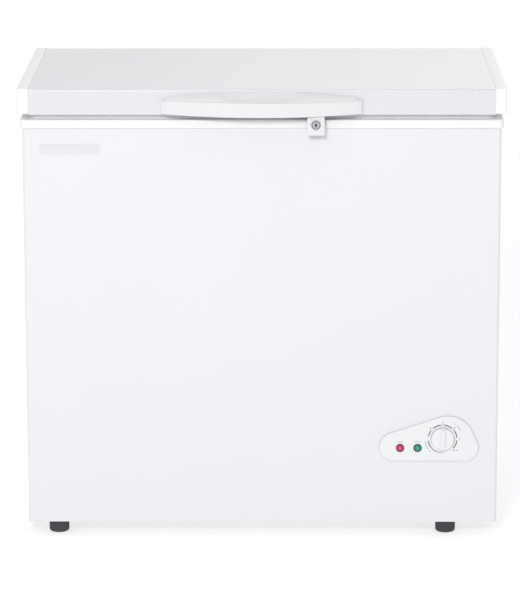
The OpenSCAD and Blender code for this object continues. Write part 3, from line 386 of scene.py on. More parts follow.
def rounded_rectangle(low: Point2, high: Point2, radius: float, steps: int = 6) -> list[Point2]:
    """Points of a rectangle with round corners, anticlockwise."""
    radius = max(radius, 0.2 * MM)
    centres = [
        (high[0] - radius, high[1] - radius), (low[0] + radius, high[1] - radius),
        (low[0] + radius, low[1] + radius), (high[0] - radius, low[1] + radius),
    ]
    points: list[Point2] = []
    for quarter, (x, y) in enumerate(centres):
        for step in range(steps + 1):
            angle = math.pi / 2 * (quarter + step / steps)
            points.append((x + radius * math.cos(angle), y + radius * math.sin(angle)))
    return points


def forward(x: float, y: float, z: float) -> Matrix:
    """Matrix that puts a lathe's axes on a point of the front, with local +Z coming forward."""
    turned = Vector((0, -1, 0)).to_track_quat("Z", "Y").to_matrix().to_4x4()
    return Matrix.Translation((x, y, z)) @ turned


def front_plane(y: float) -> Matrix:
    """Matrix that stands a flat outline upright at a depth: x stays X, y becomes Z, +Z comes forward."""
    return Matrix.Translation((0, y, 0)) @ Matrix.Rotation(math.pi / 2, 4, "X")


def front_centre(node: str) -> Point2:
    """Middle of a CAD node seen from the front, as X and Z."""
    low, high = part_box(node)
    return ((low.x + high.x) / 2, (low.z + high.z) / 2)


def sweep(start: float, end: float, steps: int) -> list[float]:
    """Angles from start to end in even steps, both included."""
    return [start + (end - start) * step / steps for step in range(steps + 1)]


class Workpiece:
    """A mesh under construction, made of closed shells that bmesh operators shape."""

    def __init__(self) -> None:
        """Starts with an empty mesh."""
        self.bm = bmesh.new()

    def _added(self, before: set[bmesh.types.BMVert]) -> list[bmesh.types.BMVert]:
        """Vertices made since before was taken."""
        return [vert for vert in self.bm.verts if vert not in before]

    def _loop(self, points: Iterable[Vector]) -> list[bmesh.types.BMEdge]:
        """Adds a closed loop of edges through the points."""
        verts = [self.bm.verts.new(point) for point in points]
        return [self.bm.edges.new((verts[i - 1], verts[i])) for i in range(len(verts))]

    def block(self, low: Sequence[float], high: Sequence[float], edge: float = 0.0, segments: int = 3) -> None:
        """Adds a box with rounded edges.

        Args:
            low: lowest corner.
            high: highest corner.
            edge: rounding of every edge.
            segments: segments of the rounding.
        """
        verts = bmesh.ops.create_cube(self.bm, size=1.0)["verts"]
        bmesh.ops.scale(self.bm, vec=Vector(high) - Vector(low), verts=verts)
        bmesh.ops.translate(self.bm, vec=(Vector(high) + Vector(low)) / 2, verts=verts)
        if edge:
            edges = list({e for vert in verts for e in vert.link_edges})
            self.bevel(edges, edge, segments)

    def bevel(self, edges: Sequence[bmesh.types.BMEdge], width: float, segments: int = 2) -> None:
        """Rounds edges."""
        bmesh.ops.bevel(
            self.bm, geom=list(edges), offset=width, offset_type="OFFSET", segments=segments,
            profile=0.5, affect="EDGES", material=-1, clamp_overlap=True,
        )

    def lathe(self, profile: Sequence[Point2], place: Matrix, steps: int = 48) -> None:
        """Spins a profile of (radius, height) about local Z and puts it in place.

        Args:
            profile: points from one end to the other; a closed ring repeats its first point.
            place: matrix from the lathe's axes to the frame.
            steps: segments of the full turn.
        """
        before = set(self.bm.verts)
        verts = [self.bm.verts.new((radius, 0, height)) for radius, height in profile]
        edges = [self.bm.edges.new(pair) for pair in zip(verts, verts[1:])]
        bmesh.ops.spin(
            self.bm, geom=verts + edges, cent=(0, 0, 0), axis=(0, 0, 1), dvec=(0, 0, 0),
            angle=2 * math.pi, steps=steps, use_merge=True, use_duplicate=False,
        )
        made = self._added(before)
        bmesh.ops.remove_doubles(self.bm, verts=made, dist=MERGE)
        bmesh.ops.transform(self.bm, matrix=place, verts=[v for v in self._added(before)])

    def loft(self, loops: Sequence[Sequence[Vector]], ring: bool = False) -> None:
        """Sweeps the first loop through the others, and closes the two ends or joins them.

        Args:
            loops: loops with the same number of points.
            ring: whether the last loop joins the first.
        """
        edges = self._loop(loops[0])
        verts = [edge.verts[1] for edge in edges]
        start = edges
        for points in list(loops[1:]) + ([loops[0]] if ring else []):
            grown = bmesh.ops.extrude_edge_only(self.bm, edges=edges)["geom"]
            fresh = {item for item in grown if isinstance(item, bmesh.types.BMVert)}
            edges = [item for item in grown if isinstance(item, bmesh.types.BMEdge) and fresh.issuperset(item.verts)]
            verts = [next(e.other_vert(v) for e in v.link_edges if e.other_vert(v) in fresh) for v in verts]
            for vert, point in zip(verts, points):
                vert.co = point
        if ring:
            bmesh.ops.remove_doubles(self.bm, verts=self.bm.verts[:], dist=1e-7)
        else:
            for end in (start, edges):
                bmesh.ops.holes_fill(self.bm, edges=end, sides=0)

    def plate(self, outlines: Sequence[Sequence[Point2]], thickness: float, place: Matrix, edge: float = 0.0) -> None:
        """Adds a flat plate from its outline and the outlines of its holes.

        Args:
            outlines: the outer outline, then the holes.
            thickness: thickness along local +Z.
            place: matrix from the outline's plane to the frame.
            edge: rounding of the outer outline's top edge.
        """
        before = set(self.bm.verts)
        edges = [e for outline in outlines for e in self._loop(Vector((x, y, 0)) for x, y in outline)]
        outer = {vert for e in edges[:len(outlines[0])] for vert in e.verts}
        outer_places = {vert.co.to_tuple(7)[:2] for vert in outer}
        filled = bmesh.ops.triangle_fill(self.bm, use_beauty=True, use_dissolve=False, edges=edges)
        faces = [item for item in filled["geom"] if isinstance(item, bmesh.types.BMFace)]
        risen = bmesh.ops.extrude_face_region(self.bm, geom=faces, use_keep_orig=True)["geom"]
        top = [item for item in risen if isinstance(item, bmesh.types.BMVert)]
        bmesh.ops.translate(self.bm, vec=(0, 0, thickness), verts=top)
        if edge:
            rim = [
                e for e in {e for vert in top for e in vert.link_edges}
                if all(v.co.to_tuple(7)[:2] in outer_places and v.co.z > thickness / 2 for v in e.verts)
                and len(e.link_faces) == 2 and e.calc_face_angle(0) > SHARP
            ]
            self.bevel(rim, edge, 3)
        bmesh.ops.transform(self.bm, matrix=place, verts=self._added(before))

    def soften(self, width: float, shortest: float, segments: int = 2) -> None:
        """Rounds every sharp edge that is longer than shortest."""
        bmesh.ops.dissolve_limit(
            self.bm, angle_limit=math.radians(0.5), verts=self.bm.verts[:], edges=self.bm.edges[:],
        )
        edges = [
            e for e in self.bm.edges
            if len(e.link_faces) == 2 and e.calc_length() > shortest and e.calc_face_angle(0) > SHARP
        ]
        self.bevel(edges, width, segments)

    def add_mesh(self, mesh: bpy.types.Mesh, place: Matrix | None = None) -> None:
        """Adds a copy of a mesh, merged."""
        before = set(self.bm.verts)
        self.bm.from_mesh(mesh)
        if place is not None:
            bmesh.ops.transform(self.bm, matrix=place, verts=self._added(before))
        bmesh.ops.remove_doubles(self.bm, verts=self._added(before), dist=MERGE)

    def add_curve(self, curve: bpy.types.Curve, place: Matrix | None = None) -> None:
        """Adds the surface of a curve or a text, merged."""
        maker = bpy.data.objects.new(curve.name + "_maker", curve)
        bpy.context.scene.collection.objects.link(maker)
        bpy.context.view_layer.update()
        mesh = bpy.data.meshes.new_from_object(maker.evaluated_get(bpy.context.evaluated_depsgraph_get()))
        bpy.data.objects.remove(maker)
        self.add_mesh(mesh, place)
        bpy.data.meshes.remove(mesh)

    def piece(
        self, name: str, finish: Finish, body: str, replaces: Sequence[str] = (), recalculate: bool = True
    ) -> bpy.types.Object:
        """Turns the work into a finished piece of the object.

        Args:
            name: the piece's name.
            finish: its finish.
            body: the body that it rides.
            replaces: CAD nodes that it stands for.
            recalculate: whether its faces' directions are worked out again.

        Returns:
            The new object.
        """
        if recalculate:
            bmesh.ops.recalc_face_normals(self.bm, faces=self.bm.faces[:])
        for face in self.bm.faces:
            face.smooth = True
        for e in self.bm.edges:
            e.smooth = len(e.link_faces) != 2 or e.calc_face_angle(0) < SHARP
        mesh = bpy.data.meshes.new(name)
        self.bm.to_mesh(mesh)
        self.bm.free()
        return finished(bpy.data.objects.new(name, mesh), finish, body, replaces)


def finished(obj: bpy.types.Object, finish: Finish, body: str, replaces: Sequence[str] = ()) -> bpy.types.Object:
    """Dresses a new object and ties it to the frame.

    Args:
        obj: the object, with its place in its mesh.
        finish: its finish.
        body: the body that it rides.
        replaces: CAD nodes that it stands for.

    Returns:
        The same object.
    """
    bpy.context.scene.collection.objects.link(obj)
    obj.data.materials.clear()
    obj.data.materials.append(finish.material())
    if replaces:
        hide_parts(*replaces)
    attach(obj, body)
    log.info("%s: %d faces, %s, on %s", obj.name, len(obj.data.polygons), finish.name, body)
    return obj


def wires(
    name: str, paths: Sequence[Sequence[Vector]], radius: float, finish: Finish, body: str,
    replaces: Sequence[str] = (), closed: bool = False, sides: int = 3,
) -> bpy.types.Object:
    """Makes one piece of round wires or tubes that follow paths.

    Args:
        name: the piece's name.
        paths: points of each wire.
        radius: the wires' radius.
        finish: the piece's finish.
        body: the body that it rides.
        replaces: CAD nodes that it stands for.
        closed: whether each wire joins its own start.
        sides: how round the wires are; 3 gives 10 sides.

    Returns:
        The new object.
    """
    curve = bpy.data.curves.new(name, "CURVE")
    curve.dimensions = "3D"
    curve.bevel_depth = radius
    curve.bevel_resolution = sides
    curve.use_fill_caps = True
    for path in paths:
        spline = curve.splines.new("POLY")
        spline.points.add(len(path) - 1)
        for point, place in zip(spline.points, path):
            point.co = (*place, 1.0)
        spline.use_cyclic_u = closed
        spline.use_smooth = True
    work = Workpiece()
    work.add_curve(curve)
    return work.piece(name, finish, body, replaces)


def spun(
    name: str, finish: Finish, body: str, profile: Sequence[Point2], place: Matrix, steps: int = 48,
    replaces: Sequence[str] = (),
) -> bpy.types.Object:
    """Makes a piece of one spun profile; see Workpiece.lathe and Workpiece.piece for what each value means."""
    work = Workpiece()
    work.lathe(profile, place, steps)
    return work.piece(name, finish, body, replaces)


def dress(finish: Finish, *nodes: str) -> None:
    """Gives CAD nodes a finish; their shapes stay as they are."""
    for node in nodes:
        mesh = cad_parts[node].data
        mesh.materials.clear()
        mesh.materials.append(finish.material())
        log.info("%s: %s", node, finish.name)


def softened(node: str, finish: Finish, body: str, width: float = 0.4 * MM, shortest: float = 3 * MM) -> None:
    """Replaces a CAD node by its own shape with its long sharp edges rounded.

    Args:
        node: the CAD node.
        finish: the piece's finish.
        body: the body that it rides.
        width: rounding of the edges.
        shortest: shorter edges, such as those round a hole, stay sharp.
    """
    work = Workpiece()
    work.add_mesh(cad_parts[node].data)
    work.soften(width, shortest)
    work.piece(node + "_finished", finish, body, [node], recalculate=False)


def plan_loop(inset: float, radius: float, height: float, steps: int = 8) -> list[Vector]:
    """A level loop round the cabinet, inset from its steel walls.

    Args:
        inset: distance inside the walls; negative is outside them.
        radius: corner radius.
        height: its level.
        steps: segments of each corner.

    Returns:
        The loop's points.
    """
    low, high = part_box("cabinet_wrapper")
    outline = rounded_rectangle((low.x + inset, low.y + inset), (high.x - inset, high.y - inset), radius, steps)
    return [Vector((x, y, height)) for x, y in outline]


def hull(points: Sequence[Point2]) -> list[Point2]:
    """Convex outline round points, anticlockwise."""
    ordered = sorted(points)
    outline: list[Point2] = []
    for run in (ordered, ordered[::-1]):
        chain: list[Point2] = []
        for point in run:
            while len(chain) > 1:
                (ax, ay), (bx, by) = chain[-2:]
                if (bx - ax) * (point[1] - ay) - (by - ay) * (point[0] - ax) > 0:
                    break
                chain.pop()
            chain.append(point)
        outline += chain[:-1]
    return outline


# ---------------------------------------------------------------- cabinet


@dataclass
class Cabinet:
    """Foamed steel cabinet with its liner, collar, tubes and drain."""

    collar_round: float = 1.2 * MM
    collar_wall: float = 2.5 * MM
    ledge_in: float = 40.5 * MM
    lip_in: float = 57.8 * MM
    ledge_drop: float = 14.5 * MM
    band_h: float = 15.5 * MM
    outer_corner: float = 6 * MM
    mouth_corner: float = 75 * MM

    def build(self) -> None:
        """Dresses the cabinet's sheets and makes its mouldings."""
        dress(COATED_STEEL, "cabinet_wrapper", "rear_panel")
        dress(GALVANISED, "bottom_panel", "bay_cover")
        dress(LINER_SHEET, "inner_liner")
        dress(FOAM, "insulation_foam")
        dress(ALUMINIUM, "evaporator_tube")
        dress(COPPER, "condenser_tube")
        dress(WHITE_MOULDING, "drain_tube")
        self.collar()
        self.drain()

    def collar(self) -> None:
        """Makes the moulded collar: outer band, deck, basket ledge and the lip inside the liner."""
        low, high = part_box("top_collar")
        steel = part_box("cabinet_wrapper")[0]
        proud = steel.x - low.x
        wall, ledge, lip = self.collar_wall, self.ledge_in, self.lip_in
        ledge_z, band_z = high.z - self.ledge_drop, high.z - self.band_h
        section = filleted([
            (-proud, band_z), (-proud, high.z), (ledge + wall, high.z), (ledge + wall, ledge_z), (lip, ledge_z),
            (lip, low.z), (lip - wall, low.z), (lip - wall, ledge_z - wall), (ledge, ledge_z - wall),
            (ledge, high.z - wall), (wall - proud, high.z - wall), (wall - proud, band_z),
        ], self.collar_round, 3)
        loops = [
            plan_loop(inset, (self.mouth_corner if inset > ledge / 2 else self.outer_corner) - inset, height)
            for inset, height in section
        ]
        work = Workpiece()
        work.loft(loops, ring=True)
        work.piece("collar_moulding", WHITE_MOULDING, "cabinet", ["top_collar"])

    def drain(self) -> None:
        """Makes the plug in the floor and the cap outside on the left wall."""
        low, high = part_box("drain_plug")
        centre = (low + high) / 2
        r = (high.x - low.x) / 2
        spun("drain_stopper", SOFT_PVC, "drain_plug", [
            (0, low.z), (5.5 * MM, low.z), (6.6 * MM, low.z + 1.5 * MM), (6.6 * MM, 85.3 * MM),
            (r - 1 * MM, 85.3 * MM), (r, 86 * MM), (r, 87.4 * MM), (r - 1.2 * MM, 88.3 * MM), (7 * MM, 88.5 * MM),
            (4.6 * MM, 89.6 * MM), (4.2 * MM, 92.5 * MM), (5.8 * MM, 94.6 * MM), (5.6 * MM, high.z - 0.8 * MM),
            (4.4 * MM, high.z), (0, high.z),
        ], Matrix.Translation((centre.x, centre.y, 0)), replaces=["drain_plug"])
        softened("drain_cap", WHITE_MOULDING, "drain_cap", 0.6 * MM, 1 * MM)


@dataclass
class Feet:
    """Four moulded rubber feet, each on its screw."""

    edge: float = 5 * MM
    seat_r: float = 9 * MM
    seat_depth: float = 7 * MM
    bore_r: float = 4.2 * MM

    def build(self) -> None:
        """Spins each foot on its CAD place."""
        for node in ("foot_front_left", "foot_front_right", "foot_rear_left", "foot_rear_right"):
            low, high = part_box(node)
            r, top, e = (high.x - low.x) / 2, high.z, self.edge
            arc = [(r - e + e * math.sin(a), e - e * math.cos(a)) for a in sweep(0, math.pi / 2, 6)]
            spun(node + "_moulding", DARK_RUBBER, "cabinet", [
                (self.bore_r, self.seat_depth), (self.seat_r, self.seat_depth), (self.seat_r, 0.6 * MM),
                (self.seat_r + 0.6 * MM, 0), *arc, (r, 11 * MM), (r - 0.5 * MM, 11.4 * MM), (r - 0.5 * MM, 12.2 * MM),
                (r, 12.6 * MM), (r, top - 1.2 * MM), (r - 0.9 * MM, top), (self.bore_r, top),
                (self.bore_r, self.seat_depth),
            ], Matrix.Translation(((low.x + high.x) / 2, (low.y + high.y) / 2, 0)), 64, [node])
        dress(ZINC_PLATE, "foot_screws")


@dataclass
class CompressorBay:
    """Compressor with its lines and covers, in the recess at the lower right."""

    can_r: float = 74 * MM
    can_h: float = 160 * MM
    seam_at: float = 0.62
    dome_h: float = 30 * MM

    def build(self) -> None:
        """Makes the can, rounds the mount plate and the relay box, and dresses the rest."""
        self.can()
        softened("compressor_mount_plate", BLACK_ENAMEL, "cabinet", 0.5 * MM, 12 * MM)
        softened("start_relay_box", BLACK_NYLON, "cabinet", 1.2 * MM, 20 * MM)
        dress(GALVANISED, "compressor_tray", "thermostat_body")
        dress(DARK_RUBBER, "compressor_grommets")
        dress(ZINC_PLATE, "compressor_bolts", "cover_screws")
        dress(COPPER, "suction_line", "discharge_line", "filter_drier")
        dress(WHITE_MOULDING, "side_grille")
        dress(COATED_STEEL, "rear_vent_cover")
        dress(BLACK_NYLON, "cord_gland")

    def can(self) -> None:
        """Spins the welded steel can: deep drawn halves with a lapped seam."""
        low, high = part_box("compressor_can")
        centre, r, top = (low + high) / 2, self.can_r, high.z
        seam = low.z + self.seam_at * self.can_h
        dome = [
            (r * math.cos(a) ** 0.6, top - self.dome_h + self.dome_h * math.sin(a))
            for a in sweep(0, math.pi / 2, 12)
        ]
        spun("compressor_shell", BLACK_ENAMEL, "cabinet", [
            (0, low.z), (r - 16 * MM, low.z), (r - 8 * MM, low.z + 2.5 * MM), (r - 2 * MM, low.z + 8 * MM),
            (r, low.z + 14 * MM), (r, seam), (r + 2.2 * MM, seam + 0.4 * MM), (r + 2.5 * MM, seam + 1.2 * MM),
            (r + 2.5 * MM, seam + 3 * MM), (r + 1.8 * MM, seam + 4 * MM), (r, seam + 4.6 * MM), *dome[:-1], (0, top),
        ], Matrix.Translation((centre.x, centre.y, 0)), 96, ["compressor_can"])


@dataclass
class Hinges:
    """Two rear hinges with torsion springs round their pins."""

    wire: float = 0.9 * MM
    mid_r: float = 6.2 * MM
    turns: int = 5
    turn_steps: int = 24
    lead: float = 3 * MM
    axis_y: float = 272 * MM
    axis_drop: float = 4 * MM  # from the lid's lower edge down to the axis
    bracket_t: float = 3.2 * MM  # plate and half a wire, behind the rear panel
    leaf_t: float = 3.7 * MM  # the same behind the lid
    foot_z: tuple[float, float, float] = (-42 * MM, -36 * MM, -14 * MM)
    leg_z: tuple[float, float] = (10 * MM, 24 * MM)

    def build(self) -> None:
        """Makes the springs and rounds the pressed plates."""
        for side in ("left", "right"):
            softened(f"hinge_bracket_{side}", POWDER_COAT, "cabinet", 0.5 * MM, 5 * MM)
            softened(f"hinge_leaf_{side}", POWDER_COAT, "lid", 0.5 * MM, 5 * MM)
        dress(ZINC_PLATE, "hinge_pins", "hinge_bracket_screws", "hinge_leaf_screws")
        self.springs()

    def springs(self) -> None:
        """Winds the springs; their lower legs bear on the brackets and their upper legs on the leaves."""
        axis_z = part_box("lid_end_cap_left")[0].z - self.axis_drop
        plate_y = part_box("rear_panel")[1].y + self.bracket_t - self.axis_y
        leaf_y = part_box("lid_top_panel")[1].y + self.leaf_t - self.axis_y
        steps, r = self.turn_steps, self.mid_r
        angles = [math.pi - 2 * math.pi * i / steps for i in range(self.turns * steps + 1)]
        coils, legs = [], []
        for node in ("hinge_bracket_left", "hinge_bracket_right"):
            low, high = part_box(node)
            centre = Vector(((low.x + high.x) / 2, self.axis_y, axis_z))
            coil = [
                Vector((self.lead * (i / steps - self.turns / 2), r * math.cos(a), r * math.sin(a)))
                for i, a in enumerate(angles)
            ]
            x = coil[0].x
            foot = [Vector((x, y, z)) for y, z in zip((plate_y, plate_y, -r), self.foot_z)]
            leg = [coil[-1]] + [Vector((-x, leaf_y, z)) for z in self.leg_z]
            coils.append([centre + point for point in foot + coil])
            legs.append([centre + point for point in bent(leg, 4 * MM)])
        wires("hinge_spring_coils", coils, self.wire, ZINC_PLATE, "cabinet", ["hinge_springs"], sides=2)
        wires("hinge_spring_legs", legs, self.wire, ZINC_PLATE, "lid", ["hinge_springs"], sides=2)


# ---------------------------------------------------------------- lid


@dataclass
class Lid:
    """Insulated lid: bent sheet, moulded end caps, inner liner and gasket."""

    cap_round: float = 1.6 * MM
    gasket_w: float = 15 * MM
    magnet_h: float = 2.6 * MM
    gasket_corner: float = 20 * MM

    def build(self) -> None:
        """Dresses the sheets and makes the caps and the gasket."""
        # The lid sheet's greyer colour is painted shade for its flat top, not a different paint
        dress(LID_STEEL_PAINTED_SHADE, "lid_top_panel")
        dress(LINER_SHEET, "lid_inner_liner")
        dress(FOAM, "lid_foam")
        for side in ("left", "right"):
            softened(f"lid_end_cap_{side}", WHITE_MOULDING, "lid", self.cap_round, 30 * MM)
        self.gasket()

    def gasket(self) -> None:
        """Makes the magnetic gasket: a bellows that carries its magnet pocket."""
        low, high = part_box("lid_gasket")
        outer = low.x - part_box("cabinet_wrapper")[0].x
        inner = outer + self.gasket_w
        magnet = low.z + self.magnet_h
        fold = [(0, low.z), (0, magnet), (2.5 * MM, magnet + 0.3 * MM), (0.8 * MM, magnet + 1.4 * MM),
                (2.5 * MM, high.z - 0.9 * MM), (1 * MM, high.z)]
        section = filleted(
            [(outer + x, z) for x, z in fold] + [(inner - x, z) for x, z in fold[::-1]], 0.6 * MM, 2,
        )
        loops = [
            plan_loop(inset, self.gasket_corner - 0.5 * (inset - outer), height) for inset, height in section
        ]
        work = Workpiece()
        work.loft(loops, ring=True)
        work.piece("gasket_bellows", SOFT_PVC, "lid", ["lid_gasket"])


@dataclass
class Handle:
    """Bow handle on the lid's front edge, with a finger scoop in its top and a cap on each end."""

    width: float = 372 * MM
    end_piece: float = 8.5 * MM
    reach: float = 35 * MM
    end_reach: float = 7 * MM
    brow: float = 15 * MM
    wall: float = 3.5 * MM
    scoop_w: float = 148 * MM
    scoop_depth: float = 6 * MM
    edge: float = 1.6 * MM
    groove: float = 1.3 * MM
    groove_back: float = 4.2 * MM
    groove_w: float = 1.5 * MM
    sections: int = 120
    lid_front: float = field(init=False)
    foot: float = field(init=False)
    mid_z: float = field(init=False)
    top: float = field(init=False)

    def __post_init__(self) -> None:
        """Takes its places from the lid."""
        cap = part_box("lid_end_cap_left")[0]
        self.lid_front = cap.y
        self.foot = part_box("lid_top_panel")[0].y
        self.mid_z = cap.z - 2 * MM
        self.top = self.mid_z + 27 * MM

    def bow(self, x: float) -> float:
        """Reach of the front face ahead of the lid."""
        u = 2 * x / self.width
        return self.end_reach + (self.reach - self.end_reach) * (1 - u * u)

    def rise(self, x: float) -> float:
        """How far the top climbs from the front edge back to the lid."""
        return self.brow * math.sqrt(max(0.0, 1 - abs(2 * x / self.width) ** 2.4))

    def sill(self, x: float) -> float:
        """Level of the front face's lower edge."""
        u = 2 * x / self.width
        return self.mid_z + 3 * MM * u * u

    def dish(self, x: float, v: float) -> float:
        """Depth of the finger scoop."""
        u = 2 * x / self.scoop_w
        if abs(u) >= 1:
            return 0.0
        return self.scoop_depth * (1 - u ** 8) ** 1.5 * math.sin(math.pi * min(1.0, 1.02 * v))

    def line(self, x: float, t: float, front: int = 8, over: int = 6, back: int = 34) -> list[Vector]:
        """Half a section, inset by t: up the front, over the rounded edge and back along the top.

        Args:
            x: the section's place along the handle.
            t: inset from the outer surface.
            front: segments of the front face.
            over: segments of the rounded edge.
            back: segments of the top.

        Returns:
            The points in order.
        """
        y0 = self.lid_front - self.bow(x) + t
        z0, z1 = self.sill(x), self.top - t
        r = self.edge
        points = [Vector((x, y0, z0 + (z1 - r - z0) * i / front)) for i in range(front + 1)]

        def roof(v: float) -> Vector:
            """A point of the top, from its front edge at 0 to the lid at 1."""
            climb = self.rise(x) * (1 - max(0.0, 1 - v) ** 1.5)
            behind = (v * (self.foot - y0) - self.groove_back) / self.groove_w
            climb -= self.groove * math.exp(-behind ** 2) * min(1.0, self.rise(x) / (9 * MM))
            return Vector((x, y0 + (self.foot - y0) * v, z1 + climb - self.dish(x, v)))

        v0 = 2.2 * r / max(self.foot - y0, 3 * r)
        start, corner, first = points[-1], Vector((x, y0, z1)), roof(v0)
        points += [on_curve(start, corner, first, i / over) for i in range(1, over)]
        points += [roof(v0 + (1 - v0) * (i / back) ** 1.4) for i in range(back + 1)]
        return points

    def build(self) -> None:
        """Lofts the grip and rounds its end pieces."""
        half = self.width / 2 - self.end_piece
        loops = []
        for i in range(self.sections + 1):
            x = half * math.sin(math.pi * (i / self.sections - 0.5))
            loops.append(self.line(x, 0.0) + self.line(x, self.wall)[::-1])
        work = Workpiece()
        work.loft(loops)
        work.piece("handle_hood", HANDLE_ABS, "lid", ["handle_grip"])
        softened("handle_end_caps", HANDLE_ABS, "lid", 0.9 * MM, 4 * MM)


@dataclass
class LidLock:
    """Cylinder lock under the handle, with its keeper on the collar."""

    barrel_r: float = 8 * MM
    key_w: float = 1.6 * MM
    key_h: float = 7.6 * MM
    notch_r: float = 2.2 * MM
    plug_t: float = 3.4 * MM
    plug_in: float = 0.9 * MM

    def build(self) -> None:
        """Makes the housing and the barrel, and dresses the cam and the keeper."""
        softened("lock_housing", HANDLE_ABS, "lid", 0.9 * MM, 7 * MM)
        dress(GALVANISED, "lock_cam", "lock_keeper")
        self.barrel()

    def barrel(self) -> None:
        """Makes the barrel: a bright rim round a plug with its keyway, and tumblers behind it whose black colour is
        painted shade for the deep keyway.
        """
        low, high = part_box("lock_barrel")
        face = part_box("lock_housing")[0].y
        x, z = front_centre("lock_barrel")
        place = forward(x, face, z)
        r, out, back = self.barrel_r, face - low.y, face - high.y
        work = Workpiece()
        work.lathe([
            (0, -4.2 * MM), (r - 0.9 * MM, -4.2 * MM), (r - 0.9 * MM, out - 0.5 * MM), (r - 0.4 * MM, out),
            (r + 0.4 * MM, out), (r + 1 * MM, out - 0.6 * MM), (r + 1 * MM, 0.3 * MM), (r, 0.3 * MM),
            (r, back + 1.5 * MM), (3 * MM, back + 1.5 * MM), (3 * MM, back), (0, back),
        ], place, 64)
        w, h, notch = self.key_w / 2, self.key_h / 2, self.notch_r

        def cheek(turns: Iterable[float]) -> list[Point2]:
            """Points of the keyway's round middle, at angles in half turns."""
            return [(notch * math.cos(math.pi * turn), notch * math.sin(math.pi * turn)) for turn in turns]

        slot = [(-w, -h), (w, -h), (w, -notch), *cheek(i / 8 - 0.34 for i in range(1, 6)), (w, notch), (w, h)]
        slot += [(-w, h), (-w, notch), *cheek(i / 8 + 0.66 for i in range(5)), (-w, -notch)]
        hole = [(x + across, z + up) for across, up in slot]
        rim = circle((x, z), r - 1.3 * MM, 64)
        work.plate([rim, hole], self.plug_t, front_plane(face - self.plug_in + self.plug_t))
        work.piece("lock_cylinder", SATIN_CHROME, "lock", ["lock_barrel"])
        # The tumblers behind the keyway are real, but their black colour is painted shade for the deep keyway
        spun("lock_tumblers_painted_keyway_shade", BLACK_NYLON, "lock", [
            (0, -4.1 * MM), (r - 1 * MM, -4.1 * MM), (r - 1 * MM, -2.7 * MM), (0, -2.7 * MM),
        ], place)


# ---------------------------------------------------------------- front fittings


